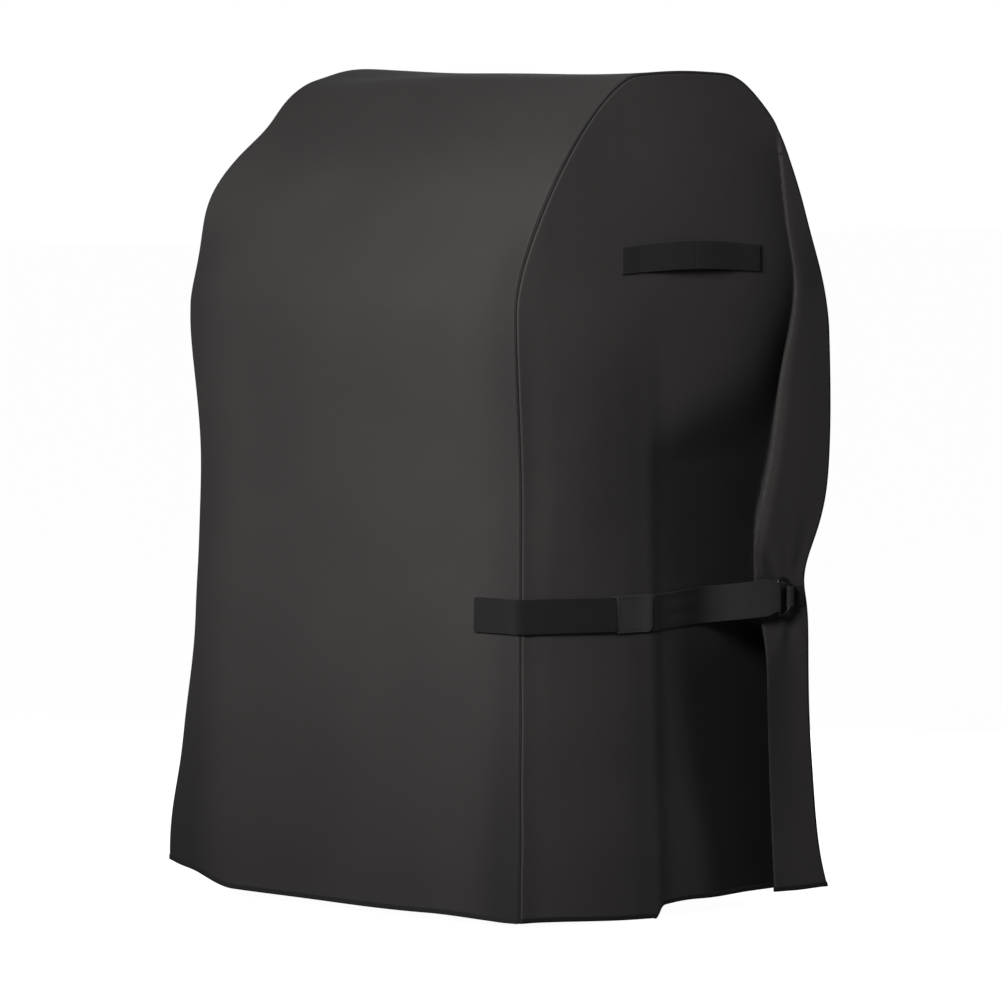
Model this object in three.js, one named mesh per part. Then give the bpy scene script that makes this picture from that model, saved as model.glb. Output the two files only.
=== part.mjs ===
// A fitted cover for a small cart grill: one long panel over the front, top and back, two arched side
// panels, bound seams and hems, a webbing handle on each side, and on each side a strap that is sewn to a
// slot ring at the rear and closes with hook and loop: on the right round the front corner, on the left
// just before it.
// Millimetres. +X is the cover's right side, -Y its front and +Z up. The hem stands on z = 0.

import * as THREE from 'three';
import { mergeVertices } from 'three/addons/utils/BufferGeometryUtils.js';

// ---------------------------------------------------------------- driving dimensions
const TOP_Z = 1118;            // height of the top seams
const SPRING_Z = 816;          // height at which the front and the back start to curve over
const FLAT_FRONT_Y = -57;      // the flat top runs from here ...
const FLAT_BACK_Y = 126;       // ... to here
const ARCH_POWER = 1.4;        // superellipse power of both shoulders
const FRONT_STEPS = 8;
const FLAT_STEPS = 3;
const BACK_STEPS = 7;
const CLOTH = 2;               // thickness of a panel's solid
const GAP = 0.5;               // air between pieces that are sewn on each other
const HEM_Z = 2.2;             // lower edge of the panels, inside the hem binding

// outline of the cover at each height: half widths at the front and rear corners, the front face, the
// rear corners, the middle of the back, and how far the middle of a side is drawn in
const LEVELS = [
  { z: HEM_Z, xFront: 368, xRear: 342, front: 279.2, rear: 276, back: 276, hollow: 0 },
  { z: 40, xFront: 368, xRear: 342, front: 279.2, rear: 276, back: 276, hollow: 0 },
  { z: 140, xFront: 360, xRear: 342, front: 273, rear: 258, back: 268, hollow: 16 },
  { z: 240, xFront: 351, xRear: 342, front: 265, rear: 250, back: 262, hollow: 26 },
  { z: 340, xFront: 342, xRear: 342, front: 255, rear: 246, back: 258, hollow: 34 },
  { z: 410, xFront: 342, xRear: 342, front: 255, rear: 244, back: 257, hollow: 36 },
  { z: 480, xFront: 342, xRear: 342, front: 255, rear: 256, back: 266, hollow: 36 },
  { z: 580, xFront: 342, xRear: 342, front: 255, rear: 278, back: 279, hollow: 26 },
  { z: 680, xFront: 342, xRear: 342, front: 255, rear: 281, back: 281, hollow: 12 },
  { z: 760, xFront: 342, xRear: 342, front: 255, rear: 281, back: 281, hollow: 0 },
  { z: SPRING_Z, xFront: 342, xRear: 342, front: 255, rear: 281, back: 281, hollow: 0 },
];
const SIDE_X = 342;            // plane of a side above the flare
const FRONT_Y = -255;          // plane of the front above the flare
const CORNER_SHARE = 0.75;     // the back is straight inside this share of its half width
const HOLLOW_FROM = 0.44;      // the drawn-in part of a side, as shares of its depth from the front
const HOLLOW_TO = 0.84;

const TAPE_WIDTH = 14;         // seam tape inside each top and corner seam
const TAPE_INSET = 4;
const TAPE_THICKNESS = 1.2;
const BINDING_HEIGHT = 12;     // binding folded round the lower edges
const BINDING_WALL = 1.4;
const BINDING_FOOT = 1.6;
const BINDING_CLEAR = 0.4;
const BINDING_END = 5;         // the bindings stop this far short of the corners

const HANDLE_Z = 874;          // middle of the handles
const HANDLE_WIDTH = 38;
const HANDLE_THICK = 2.4;
const HANDLE_FRONT_Y = -72;
const HANDLE_BACK_Y = 165;
const HANDLE_SEWN = 30;        // length of each sewn end
const HANDLE_RISE = 36;        // length over which the webbing leaves the panel
const HANDLE_BOW = 15;         // how far the middle stands off the panel
const HANDLE_SHOULDER = 0.8;   // share of that bow which each sewn end's rise reaches
const BACKING_MARGIN = 12;
const BACKING_THICK = 1.2;

const STRAP_Z = 403;           // middle of the strap where it meets the hook tab
const STRAP_WIDTH = 50;
const STRAP_THICK = 2.4;
const STRAP_RISE = 10;         // the ring sits this much higher than the tab
const TAB_END_Y = -79;         // the hook tab ends here on the side
const TAB_ON_FRONT = 89;       // the right one reaches this far round onto the front
const LEFT_TAB_FROM_Y = -232;  // the left one starts here, still on its side
const PATCH_THICK = 1.6;
const TAB_THICK = 2;

const RING_X = SIDE_X + 8.5;   // middle plane of the slot ring
const RING_FRONT_BAR_Y = 192;  // the strap loops round this bar
const RING_BACK_BAR_Y = 213;   // the ring's own tab loops round this one
const RING_BAR = 5;
const LOOP_LAP = 0.6;          // how far a band runs into its own loop round a bar
const RING_HEIGHT = 66;
const RING_FRONT_ROUND = 6;
const RING_BACK_ROUND = 20;
const LOOP_INNER = 4;
const LOOP_OUTER = 6;
const LOOP_SIDES = 12;
const RING_TAB_WIDTH = 22;
const RING_TAB_END_Y = 240;
const RING_TAB_THICK = 2.4;
const ANCHOR_FROM_Y = 209;
const ANCHOR_TO_Y = 243;
const ANCHOR_HEIGHT = 60;
const ANCHOR_THICK = 1.2;

// ---------------------------------------------------------------- materials
const cloth = (hex, roughness) => new THREE.MeshStandardMaterial({ color: hex, roughness, metalness: 0 });
const COVER_CLOTH = cloth(0x3f3c3b, 0.8);
const STRAP_CLOTH = cloth(0x3a3938, 0.8);
const BINDING_TAPE = cloth(0x1d1d1e, 0.75);
const WEBBING = cloth(0x252525, 0.7);
const HOOK_TAPE = cloth(0x202020, 0.9);
const LOOP_TAPE = cloth(0x242424, 0.95);
const RING_PLASTIC = cloth(0x141414, 0.45);

// ---------------------------------------------------------------- geometry helpers
const lerp = (a, b, share) => a + (b - a) * share;

// An arch's quarter from its foot to its crown, as [run, rise] shares from 0 to 1.
function shoulder(steps) {
  const points = [];
  for (let i = 0; i <= steps; i += 1) {
    const angle = (i / steps) * (Math.PI / 2);
    const run = 1 - Math.cos(angle) ** (2 / ARCH_POWER);
    const rise = Math.sin(angle) ** (2 / ARCH_POWER);
    points.push([run, rise]);
  }
  return points;
}

// The top of the side profile, from the front spring point over to the rear one, as [y, z].
function archLine(rearY) {
  const height = TOP_Z - SPRING_Z;
  const points = shoulder(FRONT_STEPS).map(([run, rise]) => [
    lerp(FRONT_Y, FLAT_FRONT_Y, run), SPRING_Z + rise * height]);
  for (let i = 1; i < FLAT_STEPS; i += 1) {
    points.push([lerp(FLAT_FRONT_Y, FLAT_BACK_Y, i / FLAT_STEPS), TOP_Z]);
  }
  const back = shoulder(BACK_STEPS).map(([run, rise]) => [
    lerp(rearY, FLAT_BACK_Y, run), SPRING_Z + rise * height]);
  return points.concat(back.reverse());
}

// The whole side profile from the front hem to the back hem at a share of the half width, with the half
// width that belongs to each of its points.
function profileAt(share) {
  const cornerness = Math.max(0, (Math.abs(share) - CORNER_SHARE) / (1 - CORNER_SHARE));
  const front = LEVELS.map((level) => ({ y: -level.front, z: level.z, half: level.xFront }));
  const rear = LEVELS.map((level) => ({
    y: lerp(level.back, level.rear, cornerness), z: level.z, half: level.xRear }));
  const arch = archLine(rear.at(-1).y).slice(1, -1).map(([y, z]) => ({ y, z, half: SIDE_X }));
  return [...front, ...arch, ...rear.reverse()];
}

// A line of {y, z} points moved sideways by a distance, to the inside of the cover.
function movedInside(line, distance) {
  return line.map((point, i) => {
    const before = line[Math.max(0, i - 1)];
    const after = line[Math.min(line.length - 1, i + 1)];
    const first = new THREE.Vector2(point.y - before.y, point.z - before.z).normalize();
    const second = new THREE.Vector2(after.y - point.y, after.z - point.z).normalize();
    const along = first.clone().add(second).normalize();
    const reference = i === 0 ? second : first;
    const stretch = i === 0 || i === line.length - 1 ? 1 : along.dot(reference);
    const isEnd = i === 0 || i === line.length - 1;
    const normal = isEnd ? new THREE.Vector2(Math.sign(-point.y), 0) : new THREE.Vector2(along.y, -along.x);
    const step = distance / stretch;
    return { ...point, y: point.y + normal.x * step, z: point.z + normal.y * step };
  });
}

// Triangles of a grid of points stored row after row.
function gridFaces(rows, columns) {
  const faces = [];
  for (let r = 0; r + 1 < rows; r += 1) {
    for (let c = 0; c + 1 < columns; c += 1) {
      const a = r * columns + c;
      const b = a + 1;
      const d = a + columns;
      faces.push([a, b, d + 1], [a, d + 1, d]);
    }
  }
  return faces;
}

// A closed solid between an outer and an inner skin that share one set of triangles.
function thicken(outer, inner, faces) {
  const positions = [...outer, ...inner].flat();
  const index = [];
  const edges = new Set();
  for (const [a, b, c] of faces) {
    index.push(a, b, c, outer.length + c, outer.length + b, outer.length + a);
    [[a, b], [b, c], [c, a]].forEach(([from, to]) => edges.add(`${from},${to}`));
  }
  for (const edge of edges) {
    const [from, to] = edge.split(',').map(Number);
    if (!edges.has(`${to},${from}`)) {
      index.push(to, from, outer.length + from, to, outer.length + from, outer.length + to);
    }
  }
  const geometry = new THREE.BufferGeometry();
  geometry.setAttribute('position', new THREE.Float32BufferAttribute(positions, 3));
  geometry.setIndex(index);
  return facingOut(geometry);
}

// Keeps only shared positions, and turns the triangles over if the solid is inside out.
function facingOut(source) {
  const geometry = source.clone();
  geometry.deleteAttribute('normal');
  geometry.deleteAttribute('uv');
  const merged = mergeVertices(geometry, 1e-4);
  const index = Array.from(merged.index.array);
  const corner = (i) => new THREE.Vector3().fromBufferAttribute(merged.attributes.position, index[i]);
  let volume = 0;
  for (let i = 0; i < index.length; i += 3) {
    volume += corner(i).dot(corner(i + 1).cross(corner(i + 2)));
  }
  if (volume < 0) {
    merged.setIndex(index.reverse());
  }
  merged.computeVertexNormals();
  return merged;
}

// The same solid on the other side of the cover.
function mirrored(geometry) {
  const copy = geometry.clone();
  copy.scale(-1, 1, 1);
  return facingOut(copy);
}

// A plan outline raised from one height to another, its far end lifted by a slope along Y.
function raised(shape, lowZ, height, slope = 0, slopeFromY = 0) {
  const geometry = new THREE.ExtrudeGeometry(shape, { depth: height, bevelEnabled: false, curveSegments: 6 });
  geometry.translate(0, 0, lowZ);
  const position = geometry.attributes.position;
  for (let i = 0; i < position.count; i += 1) {
    position.setZ(i, position.getZ(i) + slope * (position.getY(i) - slopeFromY));
  }
  return facingOut(geometry);
}

// A band of even thickness along a plan line of [x, y] points, as a closed outline.
function bandOutline(line, thickness) {
  const side = (sign) => line.map(([x, y], i) => {
    const before = line[Math.max(0, i - 1)];
    const after = line[Math.min(line.length - 1, i + 1)];
    const along = new THREE.Vector2(after[0] - before[0], after[1] - before[1]).normalize();
    return [x - (sign * along.y * thickness) / 2, y + (sign * along.x * thickness) / 2];
  });
  return [...side(1), ...side(-1).reverse()];
}

const shapeOf = (points) => new THREE.Shape(points.map(([x, y]) => new THREE.Vector2(x, y)));

// ---------------------------------------------------------------- panels
const SHARES = [-1, -CORNER_SHARE, -0.25, 0.25, CORNER_SHARE, 1];

// A strip of the long front, top and back panel, or of a tape under it, between two distances below
// its outer face. edge gives the x for a share, a half width and a distance.
function longStrip(shares, edge, outerDepth, innerDepth, firstPoint, lastPoint) {
  const columns = shares.map((share) => {
    const whole = profileAt(share);
    return [outerDepth, innerDepth].map((depth) => movedInside(whole, depth)
      .slice(firstPoint, lastPoint)
      .map((point) => [edge(share, point.half, depth), point.y, point.z]));
  });
  const rows = columns[0][0].length;
  const rowOf = (layer, r) => columns.map((column) => column[layer][r]);
  const skin = (layer) => Array.from({ length: rows }, (_, r) => rowOf(layer, r)).flat();
  return thicken(skin(0), skin(1), gridFaces(rows, shares.length));
}

const POINTS = profileAt(1).length;

function mainPanel() {
  const edge = (share, half, depth) => share * (half - GAP - depth);
  return longStrip(SHARES, edge, 0, CLOTH, 0, POINTS);
}

function seamTape() {
  const edge = (share, half) => half - CLOTH - TAPE_INSET - (share < 1 ? TAPE_WIDTH : 0);
  return longStrip([0.999, 1], edge, CLOTH + GAP, CLOTH + GAP + TAPE_THICKNESS, 1, POINTS - 1);
}

// How much of a level's hollow is felt at a share of the side's depth.
function hollowShare(share) {
  const middle = (HOLLOW_FROM + HOLLOW_TO) / 2;
  const reach = (HOLLOW_TO - HOLLOW_FROM) / 2;
  return Math.max(0, 1 - (Math.abs(share - middle) / reach) ** 2);
}

function sidePanel() {
  const arch = archLine(LEVELS.at(-1).rear);
  const edgeProfile = profileAt(1);
  const edgeInside = movedInside(edgeProfile, CLOTH);
  const shares = arch.map(([y]) => (y - FRONT_Y) / (LEVELS.at(-1).rear - FRONT_Y));
  const last = shares.length - 1;
  const outer = [];
  const inner = [];
  const inside = (level, i, atRear) => edgeInside[atRear ? edgeInside.length - 1 - i : i];
  LEVELS.forEach((level, i) => {
    shares.forEach((share, column) => {
      const x = lerp(level.xFront, level.xRear, share) - level.hollow * hollowShare(share);
      const y = lerp(-level.front, level.rear, share);
      const atEdge = column === 0 || column === last;
      const edge = atEdge ? inside(level, i, column === last) : { y, z: level.z };
      outer.push([x, y, level.z]);
      inner.push([x - CLOTH, edge.y, edge.z]);
    });
  });
  const spring = (LEVELS.length - 1) * (last + 1);
  const firstArch = outer.length;
  arch.slice(1, -1).forEach(([y, z], i) => {
    const edge = edgeInside[LEVELS.length + i];
    outer.push([SIDE_X, y, z]);
    inner.push([SIDE_X - CLOTH, edge.y, edge.z]);
  });
  const crown = (column) => {
    if (column === 0) return spring;
    return column === last ? spring + last : firstArch + column - 1;
  };
  const faces = gridFaces(LEVELS.length, last + 1);
  for (let column = 0; column < last; column += 1) {
    const low = spring + column;
    if (column + 1 < last) faces.push([low, low + 1, crown(column + 1)]);
    if (column > 0) faces.push([low, crown(column + 1), crown(column)]);
  }
  return thicken(outer, inner, faces);
}

// ---------------------------------------------------------------- hem bindings
// A U-shaped tape round the lower edge between two plan points, with the panel's outer face on the line.
function hemBinding(from, to) {
  const start = new THREE.Vector3(from[0], from[1], 0);
  const end = new THREE.Vector3(to[0], to[1], 0);
  const along = end.clone().sub(start);
  const out = new THREE.Vector3(along.y, -along.x, 0).normalize();
  const outside = BINDING_CLEAR + BINDING_WALL;
  const inside = -CLOTH - BINDING_CLEAR - BINDING_WALL;
  const section = shapeOf([
    [inside, 0], [outside, 0], [outside, BINDING_HEIGHT], [BINDING_CLEAR, BINDING_HEIGHT],
    [BINDING_CLEAR, BINDING_FOOT], [-CLOTH - BINDING_CLEAR, BINDING_FOOT],
    [-CLOTH - BINDING_CLEAR, BINDING_HEIGHT], [inside, BINDING_HEIGHT],
  ]);
  const geometry = new THREE.ExtrudeGeometry(section, { depth: along.length(), bevelEnabled: false });
  const frame = new THREE.Matrix4().makeBasis(out, new THREE.Vector3(0, 0, 1), along.clone().normalize());
  geometry.applyMatrix4(frame.setPosition(start));
  return facingOut(geometry);
}

// ---------------------------------------------------------------- handles
const HANDLE_LOW_Z = HANDLE_Z - HANDLE_WIDTH / 2;
const ON_PANEL = SIDE_X + GAP + HANDLE_THICK / 2;

function handleEnd(sewnY, toward) {
  const leaves = sewnY + toward * HANDLE_SEWN;
  const line = [[ON_PANEL, sewnY], [ON_PANEL, leaves]];
  const steps = 4;
  for (let i = 1; i <= steps; i += 1) {
    const share = i / steps;
    const ease = share * share * (3 - 2 * share);
    line.push([ON_PANEL + HANDLE_BOW * HANDLE_SHOULDER * ease, leaves + toward * HANDLE_RISE * share]);
  }
  return raised(shapeOf(bandOutline(line, HANDLE_THICK)), HANDLE_LOW_Z, HANDLE_WIDTH);
}

function handleGrip() {
  const from = HANDLE_FRONT_Y + HANDLE_SEWN + HANDLE_RISE + 1;
  const to = HANDLE_BACK_Y - HANDLE_SEWN - HANDLE_RISE - 1;
  const line = [];
  const steps = 8;
  for (let i = 0; i <= steps; i += 1) {
    const share = i / steps;
    const bow = HANDLE_BOW * (HANDLE_SHOULDER + (1 - HANDLE_SHOULDER) * Math.sin(Math.PI * share));
    line.push([ON_PANEL + bow, lerp(from, to, share)]);
  }
  return raised(shapeOf(bandOutline(line, HANDLE_THICK)), HANDLE_LOW_Z, HANDLE_WIDTH);
}

function handleBacking() {
  const outside = SIDE_X - CLOTH - GAP;
  const outline = shapeOf([
    [outside - BACKING_THICK, HANDLE_FRONT_Y - BACKING_MARGIN], [outside, HANDLE_FRONT_Y - BACKING_MARGIN],
    [outside, HANDLE_BACK_Y + BACKING_MARGIN], [outside - BACKING_THICK, HANDLE_BACK_Y + BACKING_MARGIN],
  ]);
  return raised(outline, HANDLE_LOW_Z - BACKING_MARGIN, HANDLE_WIDTH + 2 * BACKING_MARGIN);
}

// ---------------------------------------------------------------- strap, tab, patches and ring
// A band that lies on the front, turns round the front corner and lies on the side.
function cornerBand(lift, thickness, onFront, endY) {
  const shape = new THREE.Shape();
  const outer = lift + thickness;
  shape.moveTo(SIDE_X - onFront, FRONT_Y - lift);
  shape.lineTo(SIDE_X - onFront, FRONT_Y - outer);
  shape.lineTo(SIDE_X, FRONT_Y - outer);
  shape.absarc(SIDE_X, FRONT_Y, outer, -Math.PI / 2, 0, false);
  shape.lineTo(SIDE_X + outer, endY);
  shape.lineTo(SIDE_X + lift, endY);
  shape.lineTo(SIDE_X + lift, FRONT_Y);
  shape.absarc(SIDE_X, FRONT_Y, lift, 0, -Math.PI / 2, true);
  return raised(shape, STRAP_Z - STRAP_WIDTH / 2, STRAP_WIDTH);
}

// A band that lies on the side only.
function sideBand(lift, thickness, startY, endY) {
  const shape = new THREE.Shape();
  shape.moveTo(SIDE_X + lift, startY);
  shape.lineTo(SIDE_X + lift + thickness, startY);
  shape.lineTo(SIDE_X + lift + thickness, endY);
  shape.lineTo(SIDE_X + lift, endY);
  return raised(shape, STRAP_Z - STRAP_WIDTH / 2, STRAP_WIDTH);
}

const TAB_LIFT = 2 * GAP + PATCH_THICK;
const STRAP_X = SIDE_X + TAB_LIFT + TAB_THICK / 2;

// A band that ends in a loop round a bar. line runs from the loop's side to the band's free end.
function loopedBand(line, thickness, barY) {
  const outline = bandOutline(line, thickness);
  const first = outline[0];
  const last = outline.at(-1);
  const shape = new THREE.Shape();
  shape.moveTo(first[0], first[1]);
  outline.slice(1).forEach(([x, y]) => shape.lineTo(x, y));
  const fromAngle = Math.atan2(last[1] - barY, last[0] - RING_X);
  const toAngle = Math.atan2(first[1] - barY, first[0] - RING_X);
  shape.absarc(RING_X, barY, LOOP_OUTER, fromAngle, toAngle, true);
  const hole = Array.from({ length: LOOP_SIDES }, (_, i) => {
    const angle = (2 * Math.PI * i) / LOOP_SIDES;
    return new THREE.Vector2(RING_X + LOOP_INNER * Math.cos(angle), barY + LOOP_INNER * Math.sin(angle));
  });
  shape.holes.push(new THREE.Path(hole));
  return shape;
}

function strap() {
  const loopEdge = RING_FRONT_BAR_Y - LOOP_OUTER + LOOP_LAP;
  const line = [[RING_X, loopEdge], [RING_X - 1, loopEdge - 14], [STRAP_X - 7, 96], [STRAP_X - 7, 40],
    [STRAP_X, -24], [STRAP_X, TAB_END_Y + GAP]];
  const slope = STRAP_RISE / (RING_FRONT_BAR_Y - TAB_END_Y);
  const outline = loopedBand(line, STRAP_THICK, RING_FRONT_BAR_Y);
  return raised(outline, STRAP_Z - STRAP_WIDTH / 2, STRAP_WIDTH, slope, TAB_END_Y);
}

const RING_Z = STRAP_Z + STRAP_RISE;

function ringTab() {
  const loopEdge = RING_BACK_BAR_Y + LOOP_OUTER - LOOP_LAP;
  const onAnchor = SIDE_X + 2 * GAP + ANCHOR_THICK + RING_TAB_THICK / 2;
  const line = [[RING_X - 2, loopEdge], [onAnchor, loopEdge + 7], [onAnchor, RING_TAB_END_Y]];
  const outline = loopedBand(line, RING_TAB_THICK, RING_BACK_BAR_Y);
  return raised(outline, RING_Z - RING_TAB_WIDTH / 2, RING_TAB_WIDTH);
}

function anchorPatch() {
  const from = SIDE_X + GAP;
  const outline = shapeOf([
    [from, ANCHOR_FROM_Y], [from + ANCHOR_THICK, ANCHOR_FROM_Y],
    [from + ANCHOR_THICK, ANCHOR_TO_Y], [from, ANCHOR_TO_Y]]);
  return raised(outline, RING_Z - ANCHOR_HEIGHT / 2, ANCHOR_HEIGHT);
}

// A rectangle with one rounding at its front corners and another at its rear ones, in the YZ plane.
function ringOutline(Kind, inset) {
  const front = RING_FRONT_BAR_Y - RING_BAR / 2 + inset;
  const back = RING_BACK_BAR_Y + RING_BAR / 2 - inset;
  const half = RING_HEIGHT / 2 - inset;
  const small = RING_FRONT_ROUND - inset * 0.8;
  const large = RING_BACK_ROUND - inset;
  const outline = new Kind();
  outline.moveTo(front + small, -half);
  outline.lineTo(back - large, -half);
  outline.absarc(back - large, -half + large, large, -Math.PI / 2, 0, false);
  outline.lineTo(back, half - large);
  outline.absarc(back - large, half - large, large, 0, Math.PI / 2, false);
  outline.lineTo(front + small, half);
  outline.absarc(front + small, half - small, small, Math.PI / 2, Math.PI, false);
  outline.lineTo(front, -half + small);
  outline.absarc(front + small, -half + small, small, Math.PI, 1.5 * Math.PI, false);
  return outline;
}

function slotRing() {
  const shape = ringOutline(THREE.Shape, 0);
  shape.holes.push(ringOutline(THREE.Path, RING_BAR));
  const options = { depth: RING_BAR, bevelEnabled: false, curveSegments: 5 };
  const geometry = new THREE.ExtrudeGeometry(shape, options);
  const standing = new THREE.Matrix4().makeBasis(
    new THREE.Vector3(0, 1, 0), new THREE.Vector3(0, 0, 1), new THREE.Vector3(1, 0, 0));
  geometry.applyMatrix4(standing.setPosition(RING_X - RING_BAR / 2, 0, RING_Z));
  return facingOut(geometry);
}

// ---------------------------------------------------------------- assembly
const group = new THREE.Group();

function add(name, geometry, material) {
  const mesh = new THREE.Mesh(geometry, material);
  mesh.name = name;
  group.add(mesh);
}

const hem = LEVELS[0];
const bindingReach = CLOTH + BINDING_CLEAR + BINDING_WALL + BINDING_END;
const frontReach = hem.xFront - bindingReach;
const backReach = hem.xRear - bindingReach;

add('main_panel', mainPanel(), COVER_CLOTH);
add('front_hem_binding', hemBinding([-frontReach, -hem.front], [frontReach, -hem.front]), BINDING_TAPE);
add('back_hem_binding', hemBinding([backReach, hem.back], [-backReach, hem.back]), BINDING_TAPE);

const sideHemX = (y) => lerp(hem.xFront, hem.xRear, (y + hem.front) / (hem.rear + hem.front));
const sideHemFrom = -hem.front + bindingReach;
const sideHemTo = hem.rear - bindingReach;

const SIDE_BINDING = hemBinding([sideHemX(sideHemFrom), sideHemFrom], [sideHemX(sideHemTo), sideHemTo]);
const SIDE_PIECES = [
  ['side_panel', sidePanel(), COVER_CLOTH],
  ['seam_tape', seamTape(), BINDING_TAPE],
  ['hem_binding', SIDE_BINDING, BINDING_TAPE],
  ['handle_front_end', handleEnd(HANDLE_FRONT_Y, 1), WEBBING],
  ['handle_grip', handleGrip(), WEBBING],
  ['handle_rear_end', handleEnd(HANDLE_BACK_Y, -1), WEBBING],
  ['handle_backing', handleBacking(), COVER_CLOTH],
  ['loop_patch', cornerBand(GAP, PATCH_THICK, TAB_ON_FRONT, TAB_END_Y), LOOP_TAPE],
  ['hook_tab', cornerBand(TAB_LIFT, TAB_THICK, TAB_ON_FRONT - 2, TAB_END_Y), HOOK_TAPE],
  ['strap', strap(), STRAP_CLOTH],
  ['slot_ring', slotRing(), RING_PLASTIC],
  ['ring_tab', ringTab(), STRAP_CLOTH],
  ['ring_anchor', anchorPatch(), COVER_CLOTH],
];

// the left tab and its patch are shorter than the right ones; every other left piece is a mirror image
const LEFT_SHAPES = {
  loop_patch: sideBand(GAP, PATCH_THICK, LEFT_TAB_FROM_Y - 2, TAB_END_Y),
  hook_tab: sideBand(TAB_LIFT, TAB_THICK, LEFT_TAB_FROM_Y, TAB_END_Y),
};

for (const [name, geometry, material] of SIDE_PIECES) {
  add(`right_${name}`, geometry, material);
  add(`left_${name}`, mirrored(LEFT_SHAPES[name] ?? geometry), material);
}

export default group;
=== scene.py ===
"""Looks of a fitted grill cover: coated oxford cloth panels, bound seams and hems, webbing handles,
hook-and-loop straps with slot rings. Metres. +X is the cover's right side, -Y its front, +Z up."""

import math

import bpy
import numpy as np
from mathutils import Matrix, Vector


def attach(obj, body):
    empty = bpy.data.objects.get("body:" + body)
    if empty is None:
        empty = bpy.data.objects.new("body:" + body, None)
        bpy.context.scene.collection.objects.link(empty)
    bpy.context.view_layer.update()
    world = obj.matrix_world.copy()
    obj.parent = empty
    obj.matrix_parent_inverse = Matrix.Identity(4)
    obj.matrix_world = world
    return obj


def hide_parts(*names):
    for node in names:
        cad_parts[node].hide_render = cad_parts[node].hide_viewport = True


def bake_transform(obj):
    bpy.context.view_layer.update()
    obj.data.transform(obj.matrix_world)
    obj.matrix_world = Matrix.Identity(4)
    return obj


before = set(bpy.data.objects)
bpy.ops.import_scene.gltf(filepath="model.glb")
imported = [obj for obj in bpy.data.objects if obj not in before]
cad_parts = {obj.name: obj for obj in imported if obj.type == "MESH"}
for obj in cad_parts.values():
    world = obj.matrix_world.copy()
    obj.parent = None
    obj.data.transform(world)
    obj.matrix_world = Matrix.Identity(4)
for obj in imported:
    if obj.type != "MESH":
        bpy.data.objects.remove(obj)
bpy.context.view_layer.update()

# ------------------------------------------------------------------ driving dimensions
TOP = 1.118
FRONT_SPRING = 0.806           # where the front starts to curve over
REAR_SPRING = 0.772
FLAT_FRONT = -0.057            # the flat top lies between these two
FLAT_BACK = 0.114
CROWN = 0.0045                 # how far the flat part of the arch is crowned
TOP_SAG = 0.0055               # how far the top hangs between its two seams
FRONT_POWER = 1.4              # fullness of the arch's front and rear shoulders
REAR_POWER = 1.5
ARCH_SOFTNESS = 0.013          # how far the arch's bends are spread
SIDE_X = 0.345                 # plane of a side along the arch
TO_ARCH = (0.80, 0.90)         # the heights between which a side comes to that plane
TO_CORNER = (0.72, 1.0)        # the shares of the back's half width over which it goes to its corner
CLOTH = 0.0012                 # coated cloth, drawn a little thick
SEAM_ROUND = 0.007             # rounding of the panels beside a seam
SEAM_GROOVE = 0.0028           # depth of the sewn groove
SEAM_REACH = 0.0024            # how far the groove reaches to each side
GRID = 0.0048                  # spacing of the cloth's grid
SHARP_ANGLE = 50               # degrees: faces that meet more sharply than this aren't smoothed together
HEM_BASE = 0.016               # mean hem height above the floor
LOWEST_HEM = 0.0016            # hem height at the side's crease

# outline of the cover by height: z, front half width, front depth, rear half width, rear corner, back
FRONT_HALF, FRONT, REAR_HALF, CORNER, BACK = 1, 2, 3, 4, 5
OUTLINE = np.array([
    (0.000, 0.375, 0.282, 0.349, 0.296, 0.284),
    (0.030, 0.375, 0.281, 0.347, 0.287, 0.282),
    (0.060, 0.375, 0.281, 0.346, 0.279, 0.280),
    (0.110, 0.373, 0.278, 0.345, 0.271, 0.276),
    (0.180, 0.364, 0.271, 0.345, 0.264, 0.269),
    (0.240, 0.359, 0.266, 0.345, 0.259, 0.265),
    (0.350, 0.349, 0.258, 0.345, 0.256, 0.261),
    (0.410, 0.347, 0.256, 0.344, 0.253, 0.260),
    (0.436, 0.346, 0.255, 0.343, 0.250, 0.261),
    (0.462, 0.345, 0.254, 0.343, 0.255, 0.265),
    (0.500, 0.344, 0.253, 0.344, 0.271, 0.273),
    (0.543, 0.343, 0.252, 0.345, 0.285, 0.280),
    (0.600, 0.342, 0.252, 0.346, 0.292, 0.285),
    (0.700, 0.345, 0.259, 0.346, 0.294, 0.288),
    (0.777, 0.348, 0.265, 0.345, 0.293, 0.290),
    (0.860, 0.345, 0.265, 0.345, 0.292, 0.290),
])
# the drawn-in part of a side by height: z, y of the fold that hangs over its rear end, depth behind the fold
HOLLOW = np.array([
    (0.000, 0.186, 0.056), (0.100, 0.186, 0.058), (0.250, 0.186, 0.060), (0.360, 0.176, 0.058),
    (0.430, 0.160, 0.056), (0.505, 0.156, 0.060), (0.550, 0.165, 0.062), (0.605, 0.179, 0.060),
    (0.675, 0.193, 0.052), (0.740, 0.208, 0.040), (0.780, 0.220, 0.030), (0.850, 0.228, 0.017),
    (0.900, 0.218, 0.012), (0.940, 0.209, 0.010), (1.000, 0.197, 0.006), (1.040, 0.190, 0.000),
    (1.150, 0.190, 0.000),
])
CREASE_Y = -0.034              # front edge of the drawn-in part
CREASE_SHARE = 0.415           # the same edge at the hem, as a share of the side's depth
FOLD_PAINTED_SHADE = {1: 0.55, -1: 0.25}  # painted shade: how much darker each side's cloth is painted inside the fold
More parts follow.
